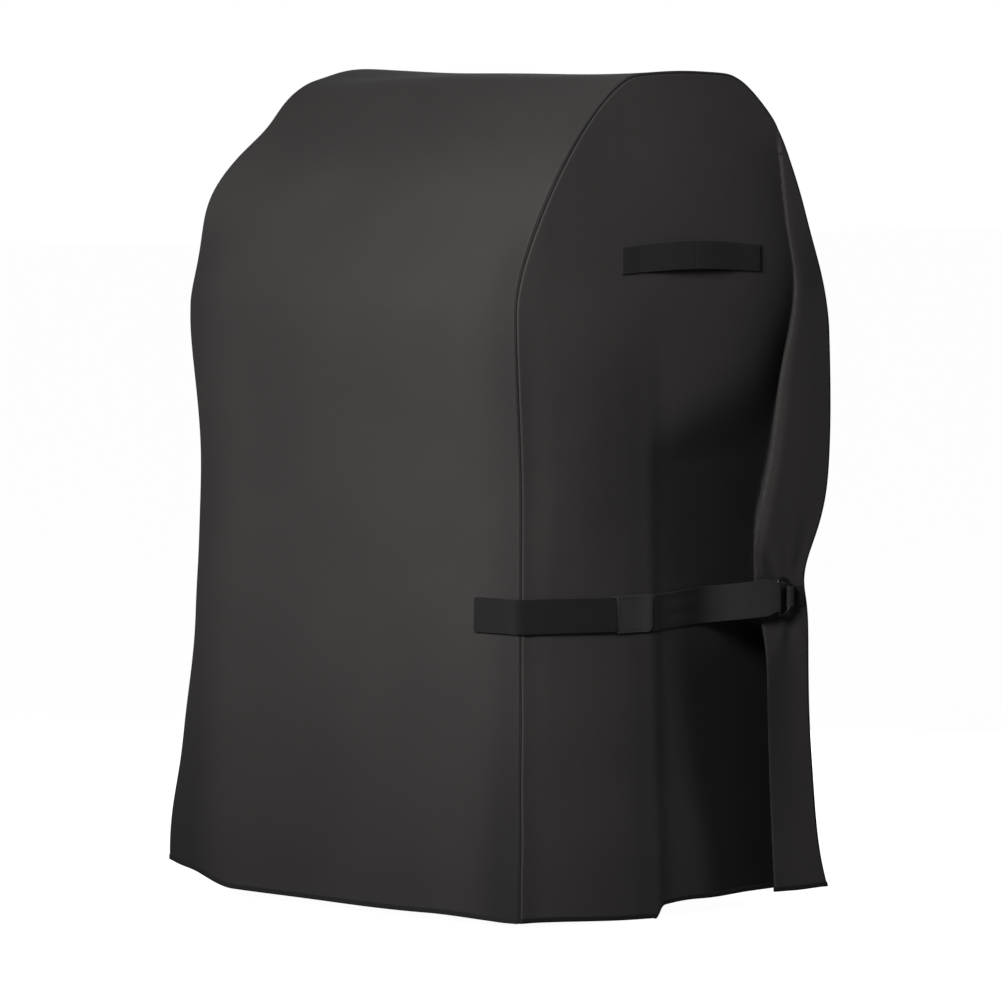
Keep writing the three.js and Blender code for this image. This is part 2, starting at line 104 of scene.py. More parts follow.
# where the lid moves the shoulders of each side, both seen as if they were the right one: centre, reach, push
LID_BULGES = {
    -1: (((0.345, -0.205, 0.941), (0.22, 0.08, 0.062), (0.008, -0.0115, 0.002)),
         ((0.345, -0.137, 1.055), (0.20, 0.060, 0.050), (-0.002, 0.008, -0.009)),
         ((0.345, -0.060, 1.104), (0.16, 0.052, 0.050), (0.0, 0.002, -0.013))),
    1: (((0.345, 0.205, 1.050), (0.20, 0.055, 0.045), (0.0, 0.003, 0.004)),
        ((0.345, 0.285, 0.915), (0.20, 0.060, 0.060), (0.0, -0.0045, -0.002))),
}

HANDLE = {"z": 0.874, "width": 0.038, "thick": 0.0022, "front": -0.083, "rear": 0.157, "sewn": 0.030,
          "bow": 0.008}
HANDLE_LIFT = 0.0004           # how far its sewn ends stand off the cloth
HANDLE_STITCH_INSET = 0.0035
HANDLE_PATCH = {"margin": 0.006, "half": 0.030, "corner": 0.008, "thick": 0.0012}
STRAP = {"z": 0.4052, "width": 0.049, "thick": 0.0014, "front": -0.106}
TAB = {"width": 0.046, "thick": 0.0020, "rear": -0.0975, "front_x": 0.257, "lift": 0.0020}
STITCH_INSET = 0.004           # how far the stitches of the strap's end and the tab lie in from their edges
LOOP = {"narrower": 0.004, "behind": 0.0115, "beyond": 0.002, "lift": 0.0003, "thick": 0.0013}
TAB_CORNER = 0.004             # rounding of the corners of the tab and of its loop patch
LEFT_TAB_FRONT = -0.232        # the left tab starts here, on its side; the right one goes round the corner
STRAP_END = 0.063              # length of the strap's doubled front end
STRAP_END_CORNER = 0.009
RING_Z = 0.417
RING_X = 0.3505
RING_FRONT, RING_REAR = 0.192, 0.213
RING_WIRE = 0.0028
RING_HEIGHT = 0.054
RING_TAB_WIDTH = 0.028
RING_TAB_REAR = 0.2425         # where the ring's tab ends
RING_TAB_SEWN = (0.2255, 0.2415)  # the box of stitches on it
RING_STITCH_LIFT, RING_STITCH_INSET = 0.0036, 0.0025
ANCHOR = {"front": 0.2170, "rear": 0.2440, "half": 0.029, "corner": 0.004, "thick": 0.0010}
PIPING = 0.0013                # radius of the dark folded edge in a seam; its darkness is partly painted shade of the groove
PIPING_RISE = 0.0012           # how far its middle stands above the groove's bottom
BINDING = 0.006                # how far the binding shows above the hem
BINDING_THICK = 0.0005
SEAM_TAPE = 0.014              # width of the tape over a seam's raw edges
SEAM_TAPE_IN = 0.0025          # how far the tape lies from the seam
SEAM_TAPE_THICK = 0.0008
UNDER_CLOTH = -CLOTH - 0.0004  # where the top of a piece on the cloth's inner face lies


# ------------------------------------------------------------------ small mathematics
def spline(knots, values, x):
    """A natural cubic spline through the knots, held level outside them."""
    n = len(knots)
    h = np.diff(knots)
    system = np.eye(n)
    right = np.zeros(n)
    for i in range(1, n - 1):
        system[i, i - 1], system[i, i], system[i, i + 1] = h[i - 1], 2 * (h[i - 1] + h[i]), h[i]
        right[i] = 3 * ((values[i + 1] - values[i]) / h[i] - (values[i] - values[i - 1]) / h[i - 1])
    bend = np.linalg.solve(system, right)
    x = np.clip(x, knots[0], knots[-1])
    i = np.clip(np.searchsorted(knots, x, side="right") - 1, 0, n - 2)
    t = x - knots[i]
    slope = (values[i + 1] - values[i]) / h[i] - h[i] * (2 * bend[i] + bend[i + 1]) / 3
    return values[i] + slope * t + bend[i] * t**2 + (bend[i + 1] - bend[i]) / (3 * h[i]) * t**3


def raw_outline(column, z):
    """A line of the outline table at a height."""
    return spline(OUTLINE[:, 0], OUTLINE[:, column], z)


def eased(t):
    """A share from 0 to 1 that leaves and arrives gently."""
    t = np.clip(t, 0, 1)
    return t * t * (3 - 2 * t)


def smooth(low, high, x):
    return eased((x - low) / (high - low))


def bell(x, middle, width):
    return np.exp(-(((x - middle) / width) ** 2))


def mix(a, b, t):
    return a + (b - a) * t


def soft_min(a, b, k):
    return 0.5 * (a + b - np.sqrt((a - b) ** 2 + k * k))


def unit(v):
    return v / np.maximum(np.linalg.norm(v, axis=-1, keepdims=True), 1e-12)


def travelled(line):
    """The length along a line at each of its points."""
    return np.concatenate([[0], np.cumsum(np.linalg.norm(np.diff(line, axis=0), axis=1))])


def read_along(at, length, columns):
    """The columns' values at some places along a line, whose points lie at the given lengths."""
    return np.stack([np.interp(at, length, column) for column in columns.T], 1)


def stacked(*parts):
    """Points, or pairs, from arrays of x, y and so on that may be single rows or numbers."""
    return np.stack(np.broadcast_arrays(*parts), -1)


# ------------------------------------------------------------------ the cover's outline
def shoulder(spring, foot_y, crown_y, power, count=300):
    """Half an arch from its foot to its crown, as rows of (y, z)."""
    angle = np.linspace(0, math.pi / 2, count)
    run = 1 - np.cos(angle) ** (2 / power)
    rise = np.sin(angle) ** (2 / power)
    return np.stack([mix(foot_y, crown_y, run), spring + rise * (TOP - spring)], 1)


def resample(line, spacing):
    """The same line with points at even steps."""
    length = travelled(line)
    count = max(2, int(round(length[-1] / spacing)) + 1)
    return read_along(np.linspace(0, length[-1], count), length, line)


def soft_arch():
    """The arch from its front foot over the top to its rear foot, with its bends spread."""
    step = 0.002
    front, rear = -float(raw_outline(FRONT, FRONT_SPRING)), float(raw_outline(CORNER, REAR_SPRING))
    post = np.arange(0.10, 0, -step)
    line = resample(np.concatenate([
        shoulder(FRONT_SPRING, front, FLAT_FRONT, FRONT_POWER),
        shoulder(REAR_SPRING, rear, FLAT_BACK, REAR_POWER)[::-1],
    ]), step)
    before = stacked(front, FRONT_SPRING - post)
    after = stacked(rear, REAR_SPRING - post[::-1])
    whole = np.concatenate([before, line, after])
    reach = np.arange(-30, 31)
    weight = np.exp(-((reach * step / ARCH_SOFTNESS) ** 2) / 2)
    soft = np.stack([np.convolve(whole[:, k], weight / weight.sum(), "same") for k in (0, 1)], 1)
    soft = soft[len(post):-len(post)]
    soft[0, 1], soft[-1, 1] = FRONT_SPRING, REAR_SPRING
    soft[:, 1] += CROWN * bell(soft[:, 0], (FLAT_FRONT + FLAT_BACK) / 2, 0.075)
    return soft, soft[0, 0] - front, rear - soft[-1, 0]


SOFT_ARCH, FRONT_EASE, REAR_EASE = soft_arch()


def outline(column, z):
    """A line of the outline table at a height, eased inward where the arch's soft foot meets it."""
    line = raw_outline(column, z)
    if column == FRONT:
        line = line - FRONT_EASE * bell(z, FRONT_SPRING, 0.020)
    if column in (CORNER, BACK):
        line = line - REAR_EASE * bell(z, REAR_SPRING, 0.020)
    return line


FRONT_FOOT = -float(outline(FRONT, FRONT_SPRING))
REAR_FOOT = float(outline(CORNER, REAR_SPRING))
ARCH = resample(SOFT_ARCH, GRID)
ARCH_SHARE = (ARCH[:, 0] - FRONT_FOOT) / (REAR_FOOT - FRONT_FOOT)

NEAR_TOP = np.array([0, 0.7, 1.4, 2.1, 3.0, 4.0, 5.2, 6.6, 8.2, 10.0, 12.4, 15.5, 19.5]) * 0.001
ROWS = 1 - np.concatenate([NEAR_TOP, np.arange(NEAR_TOP[-1] + GRID, TOP - GRID / 2, GRID), [TOP]]) / TOP
ROWS = ROWS[::-1]


def front_hem(u):
    """Height of the front hem at a share u of the half width. It lifts at the front left corner."""
    belly = -0.008 * (1 - u**2) + 0.002 * bell(u, -0.1, 0.45)
    drop_right = -0.007 * smooth(0.50, 1.0, u)
    lift_left = 0.029 * smooth(-0.62, -1.0, u) - 0.004 * bell(u, -0.93, 0.07)
    return HEM_BASE + belly + lift_left + drop_right


def side_hem(share, side):
    """Height of a side's hem from the front (0) to the rear (1): it drops to the crease, then steps up."""
    crease = CREASE_SHARE
    corner = front_hem(np.array(float(side)))
    drop = np.where(share < crease, mix(corner, LOWEST_HEM, smooth(0.0, crease, share)), 0.0)
    back = HEM_BASE + 0.004 * bell(share, 0.52, 0.07) + 0.005 * smooth(0.50, 0.72, share)
    back = back + 0.002 * smooth(0.90, 1.0, share)
    return mix(drop, back, smooth(crease, crease + 0.035, share))


def back_hem(u):
    """Height of the back's hem, which hangs a little lower in its middle."""
    return side_hem(np.array(1.0), 1) - 0.010 * (1 - u**4)


# ------------------------------------------------------------------ folds
def ripples(a, b, seed):
    """Very soft unevenness of hanging cloth."""
    total = 0
    for k, (fa, fb, size) in enumerate(((9, 5, 1.0), (-6, 11, 0.8), (15, 8, 0.45), (21, -13, 0.3))):
        total = total + size * np.sin(fa * a + fb * b + 1.7 * seed + 2.1 * k)
    return total


def fold_lip(z, side):
    """Where the fold that hangs over the rear end of the drawn-in part ends."""
    return spline(HOLLOW[:, 0], HOLLOW[:, 1], z) + 0.003 * np.sin(11 * z + 2 * side)


def side_fold(y, z, side):
    """The pleat in a side: how deep a place lies, and where its y goes. From the vertical crease the cloth
    runs inward and back to a valley, comes forward again under the rear flap, and turns round its edge."""
    lip = fold_lip(z, side)
    depth = np.maximum(spline(HOLLOW[:, 0], HOLLOW[:, 2], z), 0)
    rear = outline(CORNER, z)
    start = CREASE_Y + 0.004 * np.sin(5 * z + side)
    valley = np.minimum(lip + 0.86 * depth, rear - 0.010)
    half_wall = np.clip(depth * 0.25, 0.001, 0.012)
    power = mix(1.10, 6.0, smooth(0.60, 0.82, z))
    t = np.clip((y - start) / (lip - half_wall - start), 0, 1)
    wall = smooth(-1, 1, (y - lip) / half_wall)
    flap = np.clip((y - lip - half_wall) / (rear - lip - half_wall), 0, None)
    at_ring = bell(z, RING_Z, 0.050)
    proud = 0.09 * depth * smooth(0.05, 0.20, flap + 0.05) * (1 - np.clip(flap, 0, 1)) * (1 - at_ring)
    proud = proud * smooth(0.30, 0.50, z) - 0.0035 * at_ring * wall * np.clip(1 - flap, 0, 1)
    proud = proud - 0.006 * wall * (1 - np.clip(flap, 0, 1)) * smooth(0.40, 0.25, z)
    in_depth = np.where(y < lip, depth * t**power, depth)
    spread = mix(1.0, 3.5, smooth(0.70, 0.84, z))
    moved = np.where(y > start, y + (valley - lip + half_wall) * t**spread, y)
    settled = np.where(flap > 0, lip + (rear - lip) * flap, lip)
    shift = np.where(t >= 1, mix(valley, settled, wall), mix(y, moved, smooth(0.5, 6.0, depth * 1000)))
    deep = np.where(t >= 1, depth * (1 - wall) - proud, in_depth)
    return deep, shift


def ring_gathers(y, z):
    """Small pleats that run out from the ring, where the strap gathers the side's rear edge."""
    dy, dz = y - 0.222, z - 0.418
    away = np.hypot(dy, dz)
    around = np.arctan2(dz, dy)
    pleats = np.cos(around * 7 + 0.8) + 0.5 * np.cos(around * 12 + 2.0)
    return 0.0026 * pleats * np.exp(-away / 0.085) * smooth(0.015, 0.060, away)


def side_push(y, z, share, side):
    """How far a side stands off its plane, without what the seam adds. Zero along its edges."""
    edge = eased(np.minimum(share, 1 - share) / 0.10)
    front_part = 0.007 * np.sin(math.pi * np.clip((y + 0.255) / 0.235, 0, 1)) * smooth(0.86, 0.70, z)
    upper = 0.006 * bell(y, 0.0, 0.17) * smooth(0.70, 0.86, z) * smooth(1.10, 0.98, z)
    crease = 0.0035 * bell(y, CREASE_Y, 0.016) * smooth(0.78, 0.62, z)
    soft = 0.0011 * ripples(y, z, 3 + side) * edge
    gathers = ring_gathers(y, z) * np.clip((1 - share) / 0.06, 0, 1)
    return (front_part + upper + crease) * edge + soft + gathers


def front_push(x, z):
    """How far the front stands off its plane."""
    u = np.clip(np.abs(x) / SIDE_X, 0, 1)
    edge = eased((1 - u) / 0.12)
    belly = 0.008 * (1 - u**2) * smooth(0.10, 0.40, z)
    folds = 0.0030 * np.sin(13 * x + 0.6) * smooth(0.46, 0.02, z)
    return (belly + folds + 0.0011 * ripples(x, z, 0)) * edge


def back_push(x, z):
    """How far the back stands off its plane."""
    u = np.clip(np.abs(x) / SIDE_X, 0, 1)
    edge = eased((1 - u) / 0.10)
    folds = 0.0045 * np.sin(17 * x + 1.1) * smooth(0.56, 0.05, z)
    pinch = 0.006 * bell(u, 0.80, 0.12) * bell(z, 0.43, 0.10)
    return (folds + pinch + 0.0016 * ripples(x, z, 7)) * edge


# ------------------------------------------------------------------ seams
def seam_offsets(distance):
    """How a panel leaves its flat place beside a seam: along its own normal and towards the other panel."""
    angle = math.pi / 4 * (1 - np.clip(distance / SEAM_ROUND, 0, 1))
    near = distance < SEAM_ROUND
    own = np.where(near, -SEAM_ROUND * (1 - np.cos(angle)), 0)
    other = np.where(near, -SEAM_ROUND * (1 - np.sin(angle)) + distance, 0)
    groove = -SEAM_GROOVE * np.exp(-((distance / SEAM_REACH) ** 2)) * math.sqrt(0.5)
    return own + groove, other + groove


def seam_line(side):
    """The seam's (y, z) from the front hem over the top to the rear hem, before rounding."""
    hem_front, hem_rear = (float(side_hem(np.array(end), side)) for end in (0.0, 1.0))
    front_z = mix(hem_front, FRONT_SPRING, ROWS)
    rear_z = mix(hem_rear, REAR_SPRING, ROWS)
    front = stacked(-outline(FRONT, front_z), front_z)
    rear = stacked(outline(CORNER, rear_z), rear_z)
    return np.concatenate([front[:-1], ARCH, rear[::-1][1:]])


def line_normals(line):
    """Outward normals, in the (y, z) plane, of a line that runs from the front hem to the rear hem."""
    along = unit(np.gradient(line, axis=0))
    return np.stack([-along[:, 1], along[:, 0]], 1)


# ------------------------------------------------------------------ meshes
def grid_normals(points):
    """Unit normals of a grid whose columns, then rows, turn right-handed about the outward side."""
    return unit(np.cross(np.gradient(points, axis=1), np.gradient(points, axis=0)))


def grid_quads(rows, columns, turned):
    """The faces between neighbouring points of a grid, turned over for the left side."""
    r, c = np.meshgrid(np.arange(rows - 1), np.arange(columns - 1), indexing="ij")
    a = (r * columns + c).ravel()
    quads = np.stack([a, a + 1, a + columns + 1, a + columns], 1)
    return quads[:, ::-1] if turned else quads


def linked(name, data):
    """A new object in the scene."""
    made = bpy.data.objects.new(name, data)
    bpy.context.scene.collection.objects.link(made)
    return made


def make_mesh(name, vertices, quads, side=1, uv=None):
    """A smooth mesh of four-sided faces. Its points are for the right side, and mirrored for the left."""
    vertices = vertices.reshape(-1, 3) * np.array([side, 1.0, 1.0])
    mesh = bpy.data.meshes.new(name)
    mesh.vertices.add(len(vertices))
    mesh.vertices.foreach_set("co", np.asarray(vertices, np.float32).ravel())
    mesh.loops.add(quads.size)
    mesh.loops.foreach_set("vertex_index", quads.astype(np.int32).ravel())
    mesh.polygons.add(len(quads))
    mesh.polygons.foreach_set("loop_start", np.arange(0, quads.size, 4, dtype=np.int32))
    mesh.update(calc_edges=True)
    mesh.validate()
    if uv is not None:
        layer = mesh.uv_layers.new(name="cloth")
        layer.data.foreach_set("uv", np.asarray(uv, np.float32)[quads.ravel()].ravel())
    mesh.polygons.foreach_set("use_smooth", np.ones(len(mesh.polygons), bool))
    mesh.set_sharp_from_angle(angle=math.radians(SHARP_ANGLE))
    return linked(name, mesh)


def solid(name, outer, inner, uv, side=1, shade=None):
    """A closed cloth solid between two grids of points. The grid's painted shade, if given, is kept on the
    mesh.
    """
    rows, columns = outer.shape[:2]
    turned = side < 0
    count = rows * columns
    outer_quads = grid_quads(rows, columns, turned)
    inner_quads = outer_quads[:, ::-1] + count
    index = np.arange(count).reshape(rows, columns)
    border = np.concatenate([index[0, :], index[1:, -1], index[-1, -2::-1], index[-2:0:-1, 0]])
    ahead = np.roll(border, -1)
    rim = np.stack([ahead, border, border + count, ahead + count], 1)
    rim = rim[:, ::-1] if turned else rim
    quads = np.concatenate([outer_quads, inner_quads, rim])
    both = np.concatenate([uv.reshape(-1, 2)] * 2)
    obj = make_mesh(name, np.stack([outer, inner]), quads, side, both)
    # the painted shade, kept on the mesh as its shade attribute
    painted_shade = np.ones(count) if shade is None else shade.ravel()
    layer = obj.data.attributes.new("shade", "FLOAT", "POINT")
    layer.data.foreach_set("value", np.concatenate([painted_shade, painted_shade]).astype(np.float32))
    return obj


def sheet_mesh(name, points, thickness, uv, side=1, shade=None):
    """A closed cloth solid: the outer skin is the grid of points, and the inner skin lies under it."""
    return solid(name, points, points - grid_normals(points) * thickness, uv, side, shade)


def edge_steps(length, spacing, edge=0.001):
    """Places along a length, close together near both ends, where the edge is rounded."""
    near = np.array([0, 0.12, 0.35, 0.7, 1.2]) * edge
    count = max(2, int(round((length - 2 * near[-1]) / spacing)) + 1)
    middle = np.linspace(near[-1], length - near[-1], count)
    return np.concatenate([near[:-1], middle, (length - near[:-1])[::-1]])


def middle_lengths(grid):
    """Lengths down a grid's middle column and along its middle row."""
    return travelled(grid[:, grid.shape[1] // 2]), travelled(grid[grid.shape[0] // 2])


def band(name, base, lift, thickness, side=1, edge=0.001, shade=None):
    """A flat band with rounded edges, lifted off a grid of points; rows run across it, columns along it."""
    normal = grid_normals(base)
    down, run = middle_lengths(base)
    from_edge = np.minimum(np.minimum(down, down[-1] - down)[:, None], np.minimum(run, run[-1] - run))
    rounding = np.sqrt(1 - (1 - np.clip(from_edge / edge, 0, 1)) ** 2)
    half = thickness / 2 * (0.3 + 0.7 * rounding)
    middle = base + normal * (np.asarray(lift) + thickness / 2)[..., None]
    uv = np.stack(np.meshgrid(run, down), -1)
    return solid(name, middle + normal * half[..., None], middle - normal * half[..., None], uv, side, shade)


def rounded_half(places, half, radius):
    """Half widths along a patch whose corners are rounded."""
    from_end = np.clip(np.minimum(places - places[0], places[-1] - places), 0, radius)
    return half - radius + np.sqrt(np.maximum(radius**2 - (radius - from_end) ** 2, 0))


def tube(name, path, radius, side=1, sides=16):
    """A closed ring of round section along a closed path in a plane of constant x."""
    ahead = unit(np.roll(path, -1, 0) - np.roll(path, 1, 0))
    out = np.array([1.0, 0, 0])
    across = np.cross(ahead, out)
    angle = np.arange(sides) * 2 * math.pi / sides
    circle = out * np.cos(angle)[:, None, None] + across * np.sin(angle)[:, None, None]
    points = (path + radius * circle).transpose(1, 0, 2)
    count = len(path)
    i, j = np.meshgrid(np.arange(count), np.arange(sides), indexing="ij")
    after, beside = (i + 1) % count, (j + 1) % sides
    quads = np.stack([i * sides + j, i * sides + beside, after * sides + beside, after * sides + j], -1)
    quads = quads.reshape(-1, 4)
    return make_mesh(name, points, quads[:, ::-1] if side > 0 else quads, side)


def stitches(name, lines, side=1, pitch=0.0036, length=0.0025, radius=0.0004):
    """Rows of sewn stitches: each line is (points, outward normals)."""
    rings = [(-0.5, 0.35, -0.8), (-0.32, 0.9, 0.1), (0.0, 1.0, 0.4), (0.32, 0.9, 0.1), (0.5, 0.35, -0.8)]
    angle = np.arange(6) * math.pi / 3
    step = 0.0005
    blocks = []
    for points, normals in lines:
        run = travelled(points)
        at = np.arange(pitch / 2, run[-1], pitch)
        centre = read_along(at, run, points)
        tangent = unit(read_along(at + step, run, points) - read_along(at - step, run, points))
        normal = unit(read_along(at, run, normals))
        beside = np.cross(tangent, normal)
        circle = normal[:, None] * np.cos(angle)[:, None] + beside[:, None] * np.sin(angle)[:, None]
        spines = [centre + tangent * (t * length) + normal * (height * radius) for t, _, height in rings]
        blocks.append(np.stack([spine[:, None] + circle * (girth * radius)
                                for spine, (_, girth, _) in zip(spines, rings)], 1))
    points = np.concatenate(blocks)
    count, turns, sides = points.shape[:3]
    r, j = np.meshgrid(np.arange(turns - 1) * sides, np.arange(sides), indexing="ij")
    beyond = (j + 1) % sides
    wall = np.stack([r + j, r + beyond, r + sides + beyond, r + sides + j], -1).reshape(-1, 4)
    last = (turns - 1) * sides
    caps = np.array([(3, 2, 1, 0), (5, 4, 3, 0), (last, last + 1, last + 2, last + 3),
                     (last, last + 3, last + 4, last + 5)])
    one = np.concatenate([wall, caps])
    quads = (one[None] + (np.arange(count) * turns * sides)[:, None, None]).reshape(-1, 4)
    return make_mesh(name, points, quads if side > 0 else quads[:, ::-1], side)


# ------------------------------------------------------------------ panels
def base_y(share, z):
    """The y of a place on a side's flat plane; share is from the front (0) to the rear (1)."""
    front, rear = outline(FRONT, np.minimum(z, FRONT_SPRING)), outline(CORNER, np.minimum(z, REAR_SPRING))
    return mix(-front, rear, share)


def side_point(share, z, side):
    """A place on the right side's cloth, without the seam's rounding."""
    y = base_y(share, z)
    x = mix(outline(FRONT_HALF, z), outline(REAR_HALF, z), share)
    x = mix(x, SIDE_X, smooth(*TO_ARCH, z))
    deep, folded = side_fold(y, z, side)
    return stacked(x + side_push(y, z, share, side) - deep, folded, z)


def lid_bulge(points, side):
    """The grill's lid pushes the cover's shoulders out, and lets the left one's top corner fall in."""
    moved = points.copy()
    for centre, reach, push in LID_BULGES[side]:
        away = (points - np.array(centre)) / np.array(reach)
        moved = moved + np.exp(-(away**2).sum(-1))[..., None] * np.array(push)
    return moved


def nearest_on(line, places, block=4000):
    """For every place, the index of the line's nearest point and the distance to it."""
    distance = np.empty(len(places))
    nearest = np.empty(len(places), int)
    for start in range(0, len(places), block):
        some = slice(start, start + block)
        gaps = np.hypot(places[some, None, 0] - line[None, :, 0], places[some, None, 1] - line[None, :, 1])
        nearest[some] = gaps.argmin(1)
        distance[some] = gaps.min(1)
    return nearest, distance


def side_painted_shade(points, z, side):
    """How light a side's cloth is painted at its heights z, as painted shade: darker in the fold, beside the
    crease and in a few hollows.
    """
    y = points[..., 1]
    inside = np.clip(SIDE_X - points[..., 0], 0, None)
    # painted shade inside the fold, stronger low down
    fold_painted_shade = FOLD_PAINTED_SHADE[side] * (1 + 0.6 * smooth(0.40, 0.30, z))
    shade = 1 - fold_painted_shade * smooth(-0.002, 0.015, inside) * smooth(0.76, 0.58, z)
    # painted shade beside the crease
    by_crease = bell(y, CREASE_Y - 0.014, 0.022) * smooth(0.014, 0.0, inside)
    shade = shade - 0.30 * smooth(0.78, 0.62, z) * by_crease
    # painted shade on the side's front part and at the top of the rear flap
    shade = shade - 0.18 * bell(y, -0.10, 0.06) * bell(z, 0.60, 0.17)
    shade = shade - 0.26 * bell(y, 0.265, 0.035) * bell(z, 0.865, 0.045)
    # painted shade on the flap just behind its lip, low down
    lip = fold_lip(z, side)
    behind_lip = smooth(lip + 0.055, lip + 0.004, y) * (y > lip) * (inside < 0.02)
    return shade - 0.14 * smooth(0.42, 0.32, z) * behind_lip


def side_grid(side):
    """A side's outer face as a grid of points, with their painted shade: rows go up, columns from front to
    rear.
    """
    share = np.broadcast_to(ARCH_SHARE, (len(ROWS), len(ARCH_SHARE)))
    z = mix(side_hem(ARCH_SHARE, side), ARCH[:, 1], ROWS[:, None])
    flat = side_point(share, z, side)
    for _ in range(2):
        flat[:, 4:-4] = 0.25 * flat[:, 3:-5] + 0.5 * flat[:, 4:-4] + 0.25 * flat[:, 5:-3]
    fine = resample(seam_line(side), 0.0015)
    nearest, distance = nearest_on(fine, stacked(base_y(share, z), z).reshape(-1, 2))
    distance = distance.reshape(z.shape)
    toward = line_normals(fine)[nearest].reshape(*z.shape, 2)
    for edge in (distance[-1], distance[:, 0], distance[:, -1]):
        edge[:] = 0
    own, other = seam_offsets(distance)
    flat[..., 0] += own
    flat[..., 1:] += other[..., None] * toward
    return lid_bulge(flat, side), side_painted_shade(flat, z, side)


def main_profile(u):
    """The long panel's line at a share u of the half width: half widths, (y, z) points and normals."""
    front_z = mix(front_hem(np.array(u)), FRONT_SPRING, ROWS)[:-1]
    rear_z = mix(back_hem(np.array(u)), REAR_SPRING, ROWS)
    back = mix(outline(BACK, rear_z), outline(CORNER, rear_z), smooth(*TO_CORNER, abs(u)))
    arch_y = mix(FRONT_FOOT, back[-1], ARCH_SHARE)
    arch_z = ARCH[:, 1]
    y = np.concatenate([-outline(FRONT, front_z), arch_y, back[::-1][1:]])
    z = np.concatenate([front_z, arch_z, rear_z[::-1][1:]])
    arch_half = np.where(ARCH_SHARE < 0.5, outline(FRONT_HALF, arch_z), outline(REAR_HALF, arch_z))
    arch_half = mix(arch_half, SIDE_X, smooth(*TO_ARCH, arch_z))
    half = np.concatenate([outline(FRONT_HALF, front_z), arch_half, outline(REAR_HALF, rear_z[::-1][1:])])
    line = stacked(y, z)
    return half, line, line_normals(line)


def main_grid():
    """The long panel's outer face as a grid. Rows go from the front hem over the top to the back."""
    near = NEAR_TOP / SIDE_X
    inner = np.linspace(-1 + near[-1], 1 - near[-1], int(2 * SIDE_X / GRID))
    columns = []
    for u in np.concatenate([-1 + near[:-1], inner, (1 - near[:-1])[::-1]]):
        half, line, normal = main_profile(float(u))
        x = u * half
        y, z = line[:, 0], line[:, 1]
        push = np.where(y < 0, front_push(x, z), back_push(x, z)) * smooth(0.92, 0.78, z)
        on_top = smooth(0.92, 1.09, z)
        sag = -TOP_SAG * (1 - abs(u) ** 3) * on_top + 0.0008 * ripples(x, y, 5) * on_top * (1 - u**8)
        own, other = seam_offsets(half * (1 - abs(u)))
        moved = line + normal * (push + sag + own)[:, None]
        columns.append(stacked(x + np.sign(u) * other, moved[:, 0], moved[:, 1]))
    points = lid_bulge(np.stack(columns, 1), 1)
    turn = np.array([-1.0, 1.0, 1.0])
    return lid_bulge(points * turn, -1) * turn


# ------------------------------------------------------------------ materials
def new_tree(data):
    """The shader nodes of a new material or world."""
    data.use_nodes = True
    return data.node_tree


def add_node(tree, kind, inputs, **settings):
    """A new shader node with its inputs and its settings."""
    node = tree.nodes.new("ShaderNode" + kind)
    for setting, value in settings.items():
        setattr(node, setting, value)
    feed(tree, node, inputs)
    return node


def feed(tree, node, inputs):
    """Sets a node's inputs, each to a value or to the output that feeds it."""
    for place, value in inputs.items():
        if isinstance(value, bpy.types.NodeSocket):
            tree.links.new(value, node.inputs[place])
        else:
            node.inputs[place].default_value = value


def noise(tree, place, scale, detail=2):
    return add_node(tree, "TexNoise", {"Vector": place, "Scale": scale, "Detail": detail}).outputs["Fac"]


def bump(tree, height, strength, distance, **more):
    inputs = {"Height": height, "Strength": strength, "Distance": distance}
    return add_node(tree, "Bump", inputs | more).outputs["Normal"]


def ramp(tree, factor, dark, light, start=0.0, end=1.0):
    """A colour that goes from dark to light."""
    node = add_node(tree, "ValToRGB", {"Fac": factor})
    for element, position, colour in zip(node.color_ramp.elements, (start, end), (dark, light)):
        element.position = position
        element.color = (*colour, 1)
    return node.outputs["Color"]


def spread_value(tree, value, low, high):
    return add_node(tree, "MapRange", {"Value": value, "To Min": low, "To Max": high}).outputs["Result"]


def cloth_material(name, dark, light, weave, roughness, sheen, weave_strength, twill=False, shaded=False):
    """Woven cloth: crossing threads of the given pitch, soft mottling, small crumples and a faint sheen.
    Where it is shaded, the painted shade kept on its mesh makes the colour darker."""
    material = bpy.data.materials.new(name)
    tree = new_tree(material)
    uv = add_node(tree, "UVMap", {}, uv_map="cloth").outputs["UV"]
    place = add_node(tree, "TexCoord", {}).outputs["Object"]
    mottle = noise(tree, place, 5.5, 5)
    fine = noise(tree, place, 260, 3)
    blend = add_node(tree, "Mix", {"Factor": 0.35, "A": mottle, "B": fine}, data_type="FLOAT")
    colour = ramp(tree, blend.outputs["Result"], dark, light, 0.30, 0.72)
    if shaded:
        # painted shade: the mesh's shade attribute darkens the colour
        kept = add_node(tree, "Attribute", {}, attribute_name="shade").outputs["Fac"]
        colour = add_node(tree, "VectorMath", {0: colour, "Scale": kept}, operation="SCALE").outputs["Vector"]
    threads = {}
    for index, direction in enumerate("XY"):
        bands = "DIAGONAL" if twill and direction == "X" else direction
        wave = add_node(tree, "TexWave",
                        {"Vector": uv, "Scale": math.pi / (10 * weave), "Distortion": 0.6, "Detail": 1},
                        wave_type="BANDS", bands_direction=bands)
        threads[index] = wave.outputs["Fac"]
    crossed = add_node(tree, "Math", threads, operation="MAXIMUM").outputs["Value"]
    woven = bump(tree, crossed, weave_strength, weave * 0.4)
    feed(tree, tree.nodes["Principled BSDF"], {
        "Base Color": colour,
        "Normal": bump(tree, noise(tree, place, 38, 4), 0.22, 0.0012, Normal=woven),
        "Roughness": spread_value(tree, mottle, roughness - 0.08, roughness + 0.08),
        "Specular IOR Level": 0.28,
        "Sheen Weight": sheen,
        "Sheen Roughness": 0.55,
    })
    return material


